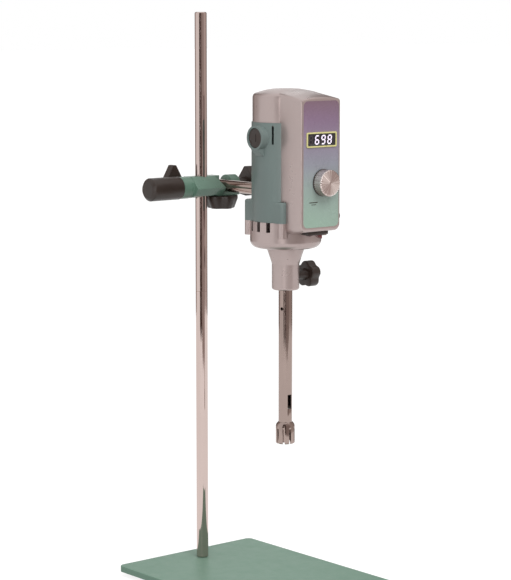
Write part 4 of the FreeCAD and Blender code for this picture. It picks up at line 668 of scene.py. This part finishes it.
# %% [markdown]
# ## The silver housing
# The top cap and the control box are one moulding. The box's top is arched and falls towards the front, so
# its outline is drawn at the front and the far end of the arch is lifted before the cap is run into it.
# %% Control box body
def arch(half, side, crown, steps=12):
    return [(half - 2 * half * i / steps, side + (crown - side) * (1 - (1 - 2 * i / steps) ** 2))
            for i in range(steps + 1)]


def box_body(name, inset):
    half, front, rear = 33.3 - inset, -69 + inset, -24
    outline = [(-half, -46 + inset), (half, -46 + inset)] + arch(half, 121.5 - inset, 124.5 - inset)
    body = prism(name, outline, rear - front, from_tool(0, rear, 0))
    for corner in body.data.vertices:
        x, y, z = corner.co / MM - TOOL
        if y > rear - 1:
            level = 128.4 - inset + 4.6 * (1 - (x / half) ** 2) if z > 100 else -53.5 + inset
            corner.co.z = (ROD_HEIGHT + level) * MM
    return round_edges(body, lambda a, b: max(a.z, b.z) < -40 and abs(a.x - b.x) < 1, 8.0 - inset, segments=8)


housing = box_body("silver_housing", 0)
round_edges(housing, lambda a, b: min(a.z, b.z) > 115 and min(abs(a.x), abs(b.x)) > 33 and abs(a.y - b.y) > 1, 3.0)
round_edges(housing, lambda a, b: max(a.y, b.y) < -68.9, 3.0)
lid = spun("lid", [(0, 91), (43.2, 91)] + arc((37.2, 122.4), 6.0, 0, 72, 8) + [(34, 129.7), (27, 131.8), (18, 133.3),
                  (9, 133.9), (0, 134)], from_tool(0, 0, 0), steps=160)
fuse(housing, lid)
print("housing outside:", len(housing.data.polygons), "faces")

# %% [markdown]
# The housing is then cut to sit on the motor shell and the lower body, hollowed to its wall, and given the
# openings for the label, the display, the dial, the switch and the cord inlet.
# %% Hollow and openings
take(housing, bar("shell_room", 44.5, from_tool(0, 0, -60), from_tool(0, 0, 91), sides=160),
     bar("lower_room", 46.45, from_tool(0, 0, -90), from_tool(0, 0, -37), sides=160),
     prism("flange_room", rounded_rectangle(-39.9, 39.9, -39.4, 39.4, 6.4), 51.4, from_tool(0, 0, -61),
           across=(1, 0, 0), up=(0, 1, 0)))
inside = box_body("inside", 2.6)
take(inside, block("behind", from_tool(-60, -41.9, -70), from_tool(60, 0, 92.5)))
take(housing, inside, spun("inside_lid", [(0, 90), (40.6, 90), (40.6, 120), (36, 125.4), (18, 130.2), (0, 131.3)], from_tool(0, 0, 0),
                             steps=160))
take(housing, prism("label_seat", rounded_rectangle(-30, 30, -41, 120, 7), 2, from_tool(0, -68.2, 0)),
     block("display_hole", from_tool(-23.4, -70, 63.1), from_tool(23.4, -60, 78.5)),
     bar("dial_hole", 3.65, from_tool(3, -70, 16), from_tool(3, -60, 16)),
     block("switch_hole", from_tool(-15.5, -62.5, -60), from_tool(15.5, -51.5, -42)),
     bar("cord_hole", 6.02, from_tool(28, -50, -30), from_tool(36, -50, -30)))
soften(housing, 0.5, segments=3, angle=40)
hand_over(housing, "mixer", "silver_paint", "control_housing", angle=32)

# %% [markdown]
# ## The front panel
# The label is a film let into the box. The display's pale frame stands proud of it, the smoked lens sits in
# the frame, and the number glows on the lens.
# %% Label, frame and lens
label = prism("label_panel", rounded_rectangle(-30, 30, -41, 120, 7), 0.8, from_tool(0, -68.2, 0))
take(label, block("display_hole", from_tool(-23.4, -70, 63.1), from_tool(23.4, -60, 78.5)),
     bar("dial_hole", 3.65, from_tool(3, -70, 16), from_tool(3, -60, 16)))
hand_over(soften(label, 0.15, segments=2), "mixer", "label", "front_label")

rim = prism("display_rim", rounded_rectangle(-25.4, 25.4, -9.7, 9.7, 2), 1.4, from_tool(0, -69, 70.8))
take(rim, prism("opening", rounded_rectangle(-23.4, 23.4, -7.7, 7.7, 0.8), 4, from_tool(0, -68, 70.8)))
hand_over(soften(rim, 0.3, segments=3), "mixer", "yellow_frame", "display_frame")

lens = prism("display_lens", rounded_rectangle(-23.38, 23.38, -7.68, 7.68, 0.8), 1.6, from_tool(0, -68.2, 70.8))
hand_over(soften(lens, 0.2, segments=2), "mixer", "dark_window", "display_window")


# %% [markdown]
# Each figure is made of seven slanted bars. The lit ones are a pale violet light, and the others stay just
# visible as dull bars, as they do behind a real lens.
# %% Figures of the display
def glow(name, shade, strength):
    made = finish(name, shade, tuple(int(c * 0.85) for c in shade), (0.3, 0.4), size=200)
    shader = made.node_tree.nodes["Principled BSDF"]
    tone = next(n for n in made.node_tree.nodes if n.type == "GROUP" and n.node_tree == DRIFT)
    made.node_tree.links.new(tone.outputs["Color"], shader.inputs["Emission Color"])
    shader.inputs["Emission Strength"].default_value = strength
    return made


LIT = glow("lit_figures", (232, 222, 240), 1.0)
UNLIT = finish("unlit_figures", (78, 68, 72), (62, 54, 60), (0.2, 0.3))
WIDE, TALL, THICK = 7.2, 12.0, 1.7
FIGURES = {"8": "abcdefg", "6": "acdefg", "9": "abcdfg", " ": ""}
SPANS = {"a": (0, 1, 1, 1), "g": (0, 0.5, 1, 0.5), "d": (0, 0, 1, 0), "f": (0, 0.5, 0, 1), "b": (1, 0.5, 1, 1),
         "e": (0, 0, 0, 0.5), "c": (1, 0, 1, 0.5)}


def figure_bar(span, centre):
    (x0, z0), (x1, z1) = [((a - 0.5) * (WIDE - THICK), (b - 0.5) * (TALL - THICK)) for a, b in (span[:2], span[2:])]
    along = Vector((x1 - x0, z1 - z0)).normalized()
    side = Vector((-along.y, along.x)) * THICK / 2
    start, end = Vector((x0, z0)) + along * 0.25, Vector((x1, z1)) - along * 0.25
    points = [start, start + along * THICK / 2 + side, end - along * THICK / 2 + side, end,
              end - along * THICK / 2 - side, start + along * THICK / 2 - side]
    slanted = [(centre + p.x + 0.1 * p.y, p.y) for p in points]
    return prism("figure_bar", slanted, 0.07, from_tool(0, -69.79, 70.8))


lit, unlit = [], []
for place, figure in zip((-18.4, -7.8, 2.8, 13.4), " 698"):
    for letter, span in SPANS.items():
        (lit if letter in FIGURES[figure] else unlit).append(figure_bar(span, place))
hand_over(merged("lit_figures", lit), "mixer", "dark_window", material=LIT)
hand_over(merged("unlit_figures", unlit), "mixer", "dark_window", material=UNLIT)
marks = [block("mark", from_tool(left, -69.1, low), from_tool(right, -68.95, high))
         for left, right, low, high in ((-20, -6, -9.4, -8.2), (-16.5, -8.5, -12, -11.2))]
hand_over(merged("panel_marks", marks), "mixer", "black_plastic")

# %% [markdown]
# ## Dial, switch and cord inlet
# The dial is a spun aluminium knob with fine flutes round it, a turned face and one line cut across it as a
# pointer. It stands on a thin dark skirt.
# %% Speed dial
dial = prism("speed_dial", star_outline(17, 0.5, 36, steps=288), 11.8, from_tool(3, -70.9, 16))
draw_in(dial, (0, -1, 0), 0.93, 1.2)
draw_in(dial, (0, -1, 0), 0.9, 0.2)
pointer = prism("pointer", [(0, -0.8), (16.5, -0.8), (16.5, 0.8), (0, 0.8)], 2, from_tool(3, -83.3, 16),
                across=(-0.77, 0, 0.64), up=(-0.64, 0, -0.77))
take(dial, pointer)
hand_over(dial, "speed_dial", "knob_metal", "speed_knob", angle=25)
skirt = spun("dial_skirt", [(3.02, 0), (17.4, 0), (17.4, 0.9), (16.9, 1.6), (3.02, 1.6)], from_tool(3, -69.3, 16),
             axis=(0, -1, 0), ring=True)
hand_over(skirt, "speed_dial", "black_plastic", "knob_skirt")

# %% [markdown]
# The mains switch is under the box. Its rocker tips about the middle, with one end always standing out.
# %% Mains switch
bezel = prism("switch_bezel", [(-64, -46.93), (-64, -51.2), (-50, -51.2), (-50, -49.27)], 34, from_tool(-17, 0, 0),
              across=(0, 1, 0))
fuse(bezel, block("can", from_tool(-15.25, -62.25, -51.2), from_tool(15.25, -51.75, -36)))
take(bezel, block("well", from_tool(-12.3, -61.3, -53), from_tool(12.3, -52.7, -42)))
hand_over(soften(bezel, 0.5, segments=2), "mixer", "black_plastic", "switch_body")
level = prism("level_key", [(-10.5, -5), (-5, -3.1), (0, -1.8), (5, -3.1), (10.5, -5), (8.7, 4), (-8.7, 4)],
              8.0, from_tool(0, -53, -50))
rocker = copied(level, "rocker_key", turn=12, about=from_tool(0, -57, -50), axis="Y")
bpy.data.objects.remove(level)
hand_over(soften(rocker, 0.4, segments=3, angle=40), "rocker", "red_rocker", "switch_rocker")

# %% [markdown]
# The cord inlet is a cable gland on the side of the box that faces away: a six-sided flange, a domed nut
# with grip ribs and the hole for the cord.
# %% Cord inlet
hexagon = [(8 * math.cos(math.radians(60 * i)), 8 * math.sin(math.radians(60 * i))) for i in range(6)]
gland = prism("cord_gland", hexagon, 4, from_tool(33.3, -50, -30), across=(0, 1, 0))
soften(gland, 0.5, segments=2)
dome = spun("dome", [(0, 0), (7.3, 0), (7.1, 3.4), (6.3, 6.0), (5.6, 7.6), (4.6, 8.0), (0, 8.0)],
            from_tool(37.3, -50, -30), axis=(1, 0, 0), out=(0, 0, 1))
fuse(gland, dome, bar("thread", 6.0, from_tool(27.1, -50, -30), from_tool(34, -50, -30)))
take(gland, bar("cord_bore", 3.5, from_tool(20, -50, -30), from_tool(50, -50, -30)))
hand_over(gland, "mixer", "black_plastic", "cable_gland", angle=40)

# %% [markdown]
# ## Lower body and tool holder
# The lower body is turned, with a generous round at its foot, lugs at the corners and vents cut through its
# wall. The holder below it is a cone that runs into a collar.
# %% Lower body
bowl = spun("lower_body", [(7, -67.3), (20.02, -67.3), (20.02, -72.3)] + arc((36.4, -62.3), 10, -90, 0, 10)
            + [(46.4, -37), (43.4, -37), (43.4, -55), (15, -55), (15, -51), (11.02, -51), (11.02, -58), (7, -58)],
            from_tool(0, 0, 0), ring=True, steps=160)
fuse(bowl, *[bar("lug", 6.3, from_tool(x, y, -56), from_tool(x, y, -37), sides=48) for x, y in corners])
take(bowl, bar("room", 43.4, from_tool(0, 0, -55), from_tool(0, 0, -36), sides=160))
vent = block("vent", from_tool(40, -3, -49.6), from_tool(50, 3, -36))
vents = [copied(vent, "vent_%d" % i, turn=90 * (i // 3) + 20 * (i % 3 - 1), about=from_tool(0, 0, 0)) for i in range(12)]
bpy.data.objects.remove(vent)
take(bowl, *vents, *[bar("screw_way", 2.02, from_tool(x, y, -53), from_tool(x, y, -36), sides=24) for x, y in corners])
soften(bowl, 0.5, angle=34)
hand_over(bowl, "mixer", "silver_paint", "lower_end_cap", angle=34)

# %% Tool holder
holder = spun("tool_holder_cone", [(7, -67.3), (20, -67.3), (20, -72.3), (24.1, -72.3), (24.7, -73), (18.3, -93),
                                   (18, -94.5)] + arc((15.5, -125.5), 2.5, 0, -90) + [(9.05, -128), (9.05, -82), (7, -82)],
              from_tool(0, 0, 0), ring=True, steps=128)
take(holder, bar("knob_bore", 3.05, from_tool(0, 0, -110.8), from_tool(20, 0, -110.8)))
hand_over(soften(holder, 0.4, segments=2, angle=40), "mixer", "silver_paint", "tool_holder", angle=40)

# %% [markdown]
# ## The dispersing tool
# The tube is bright stainless steel with a drain window near its foot and a small vent high up. The head
# screws on below: a shoulder, then a ring of open slots that shears what the rotor flings through it.
# %% Tube
tube = bar("tool_pipe", 9.0, from_tool(0, 0, -303.5), from_tool(0, 0, -82), sides=128)
take(tube, bar("bore", 7.5, from_tool(0, 0, -310), from_tool(0, 0, -80), sides=128),
     block("window", from_tool(-3.25, -11, -286), from_tool(3.25, 0, -267)))
turn = math.radians(180 + 17)
take(tube, bar("vent_hole", 2.2, from_tool(0, 0, -153), from_tool(11 * math.cos(turn), 11 * math.sin(turn), -153), sides=32))
hand_over(soften(tube, 0.2, segments=2), "tool", "tool_steel", "tool_tube")

# %% Slotted head
head = spun("slotted_head", [(10.2, -332.5), (11.6, -332.5), (12.6, -331.5), (12.6, -309), (11.6, -306.4),
                             (9.0, -303.5), (7.48, -303.5), (7.48, -295.5), (5.5, -295.5), (5.5, -309), (10.2, -311)],
            from_tool(0, 0, 0), ring=True, steps=144)
slit = block("slit", from_tool(5, -1.3, -334), from_tool(16, 1.3, -312.5))
take(head, *[copied(slit, "slit_%d" % i, turn=40 * (i + 0.5), about=from_tool(0, 0, 0)) for i in range(9)])
bpy.data.objects.remove(slit)
hand_over(soften(head, 0.25, segments=2), "tool", "tool_steel", "stator_head")

# %% [markdown]
# The pieces inside and the small fasteners keep their solids. Each takes the finish of its slot in the
# record, so nothing that shows through a vent or from below is left plain.
# %% Finishes for the solids that stay
slots = {row["node"]: row["material_slot"] for row in frame["record"]["subparts"]}
for name, solid in frame["nodes"].items():
    if solid.hide_render:
        continue
    if not solid.material_slots:
        solid.data.materials.append(None)
    for holder_slot in solid.material_slots:
        holder_slot.material = FINISHES[slots[name]]
print("solids kept:", sum(not s.hide_render for s in frame["nodes"].values()))

# %% [markdown]
# ## The studio
# The background is white because the floor and the world are white to the camera, while the lamps stay at
# a level that shows each colour about as it is. The polished pole needs something dark to reflect, so two
# cards stand behind the camera where only reflections can see them.
# %% World
def white_where_seen(tree, lit, white):
    """Mix in plain white for camera, mirror and glass rays."""
    path = node_in(tree, "ShaderNodeLightPath")
    seen = node_in(tree, "ShaderNodeMath", operation="MAXIMUM")
    both = node_in(tree, "ShaderNodeMath", operation="MAXIMUM")
    mix = node_in(tree, "ShaderNodeMixShader")
    tree.links.new(path.outputs["Is Camera Ray"], seen.inputs[0])
    tree.links.new(path.outputs["Is Glossy Ray"], seen.inputs[1])
    tree.links.new(seen.outputs[0], both.inputs[0])
    tree.links.new(path.outputs["Is Transmission Ray"], both.inputs[1])
    tree.links.new(both.outputs[0], mix.inputs[0])
    tree.links.new(lit.outputs[0], mix.inputs[1])
    tree.links.new(white.outputs[0], mix.inputs[2])
    return mix


world = bpy.data.worlds.new("studio")
bpy.context.scene.world = world
world.use_nodes = True
sky = world.node_tree
soft = sky.nodes["Background"]
soft.inputs["Color"].default_value, soft.inputs["Strength"].default_value = (1.0, 0.985, 0.975, 1), 0.72
plain = node_in(sky, "ShaderNodeBackground")
plain.inputs["Color"].default_value, plain.inputs["Strength"].default_value = (1, 1, 1, 1), 1.0
sky.links.new(white_where_seen(sky, soft, plain).outputs[0], sky.nodes["World Output"].inputs["Surface"])

# %% Floor, lamps and cards
fresh()
bpy.ops.mesh.primitive_plane_add(size=60, location=(0, 0, 0))
floor = settle("floor")
ground = bpy.data.materials.new("floor_white")
ground.use_nodes = True
tree = ground.node_tree
paper = tree.nodes["Principled BSDF"]
paper.inputs["Base Color"].default_value, paper.inputs["Roughness"].default_value = (0.28, 0.28, 0.28, 1), 0.9
paper.inputs["Specular IOR Level"].default_value = 0.1
light_up = node_in(tree, "ShaderNodeEmission", Strength=0.85)
path = node_in(tree, "ShaderNodeLightPath")
seen = node_in(tree, "ShaderNodeMath", operation="MAXIMUM")
total = node_in(tree, "ShaderNodeMixShader")
both = node_in(tree, "ShaderNodeAddShader")
tree.links.new(path.outputs["Is Camera Ray"], seen.inputs[0])
tree.links.new(path.outputs["Is Glossy Ray"], seen.inputs[1])
tree.links.new(paper.outputs[0], both.inputs[0])
tree.links.new(light_up.outputs[0], both.inputs[1])
tree.links.new(seen.outputs[0], total.inputs[0])
tree.links.new(paper.outputs[0], total.inputs[1])
tree.links.new(both.outputs[0], total.inputs[2])
tree.links.new(total.outputs[0], tree.nodes["Material Output"].inputs["Surface"])
floor.data.materials.append(ground)


def lamp(name, power, wide, tall, place, aim):
    data = bpy.data.lights.new(name, "AREA")
    data.shape, data.energy, data.size, data.size_y = "RECTANGLE", power, wide, tall
    made = bpy.data.objects.new(name, data)
    bpy.context.scene.collection.objects.link(made)
    made.location = place
    made.rotation_mode = "QUATERNION"
    made.rotation_quaternion = (Vector(place) - Vector(aim)).to_track_quat("Z", "Y")
    return made


key = lamp("key", 26, 1.2, 1.2, (-0.2, -1.9, 2.4), (0.03, 0, 0.5))
strip = lamp("strip", 14, 0.35, 1.6, (-2.0, -1.55, 0.75), (0.03, 0, 0.5))
CAMERA_TURN = -39.993


def card(name, first, last, distance, low, high, shade):
    """A card that only reflections see, from one bearing to another, in degrees from the camera's."""
    turn = math.radians(CAMERA_TURN + (first + last) / 2)
    away = Vector((math.sin(turn), -math.cos(turn), 0))
    side = Vector((math.cos(turn), math.sin(turn), 0)) * distance * math.tan(math.radians(last - first) / 2)
    centre = Vector((0, 0.127, 0)) + away * distance
    fresh()
    bpy.ops.mesh.primitive_plane_add(size=1)
    made = settle(name)
    places = (centre - side, centre + side, centre - side, centre + side)
    for corner, spot, height in zip(made.data.vertices, places, (low, low, high, high)):
        corner.co = spot + Vector((0, 0, height))
    tone = bpy.data.materials.new(name)
    tone.use_nodes = True
    tone.node_tree.nodes.clear()
    out = tone.node_tree.nodes.new("ShaderNodeOutputMaterial")
    light = node_in(tone.node_tree, "ShaderNodeEmission", Color=colour(*shade), Strength=1.0)
    tone.node_tree.links.new(light.outputs[0], out.inputs["Surface"])
    made.data.materials.append(tone)
    made.visible_camera = made.visible_diffuse = made.visible_shadow = made.visible_transmission = False
    return made


card("dark_card", -31, 13, 1.75, 0.0, 3.0, (78, 60, 54))
card("middle_card", 13, 62, 1.35, 0.0, 3.0, (172, 160, 156))
card("left_card", -142, -106, 2.3, 0.0, 3.0, (196, 186, 182))
card("pale_card", 62, 102, 2.3, 0.0, 3.0, (206, 196, 192))
card("far_card", 102, 142, 2.3, 0.0, 3.0, (190, 180, 176))
for side in (-1, 1):
    first, last = sorted((side * 142, side * 172))
    card("edge_card", first, last, 2.3, 0.0, 3.0, (96, 84, 80))

# %% [markdown]
# The camera stands where the photograph was taken from: a little above the pole's foot, to the left of the
# panel, and far enough away that the long lens flattens the view.
# %% Camera
TILT = 7.72
DISTANCE, RIGHT, UP = 2.832346, 0.072582, 0.365229
a, e = math.radians(CAMERA_TURN), math.radians(TILT)
back = Vector((math.sin(a) * math.cos(e), -math.cos(a) * math.cos(e), math.sin(e)))
right = Vector((math.cos(a), math.sin(a), 0))
camera = bpy.data.objects.new("camera", bpy.data.cameras.new("camera"))
bpy.context.scene.collection.objects.link(camera)
camera.location = Vector((0, 0.127, 0.014)) + back * DISTANCE + right * RIGHT + back.cross(right) * UP
camera.rotation_mode = "QUATERNION"
camera.rotation_quaternion = (-back).to_track_quat("-Z", "Y")
camera.data.sensor_width, camera.data.lens = 36, 2065.455 / 580 * 36
camera.data.clip_end = 100
bpy.context.scene.camera = camera
bpy.context.scene.view_settings.view_transform = "Standard"
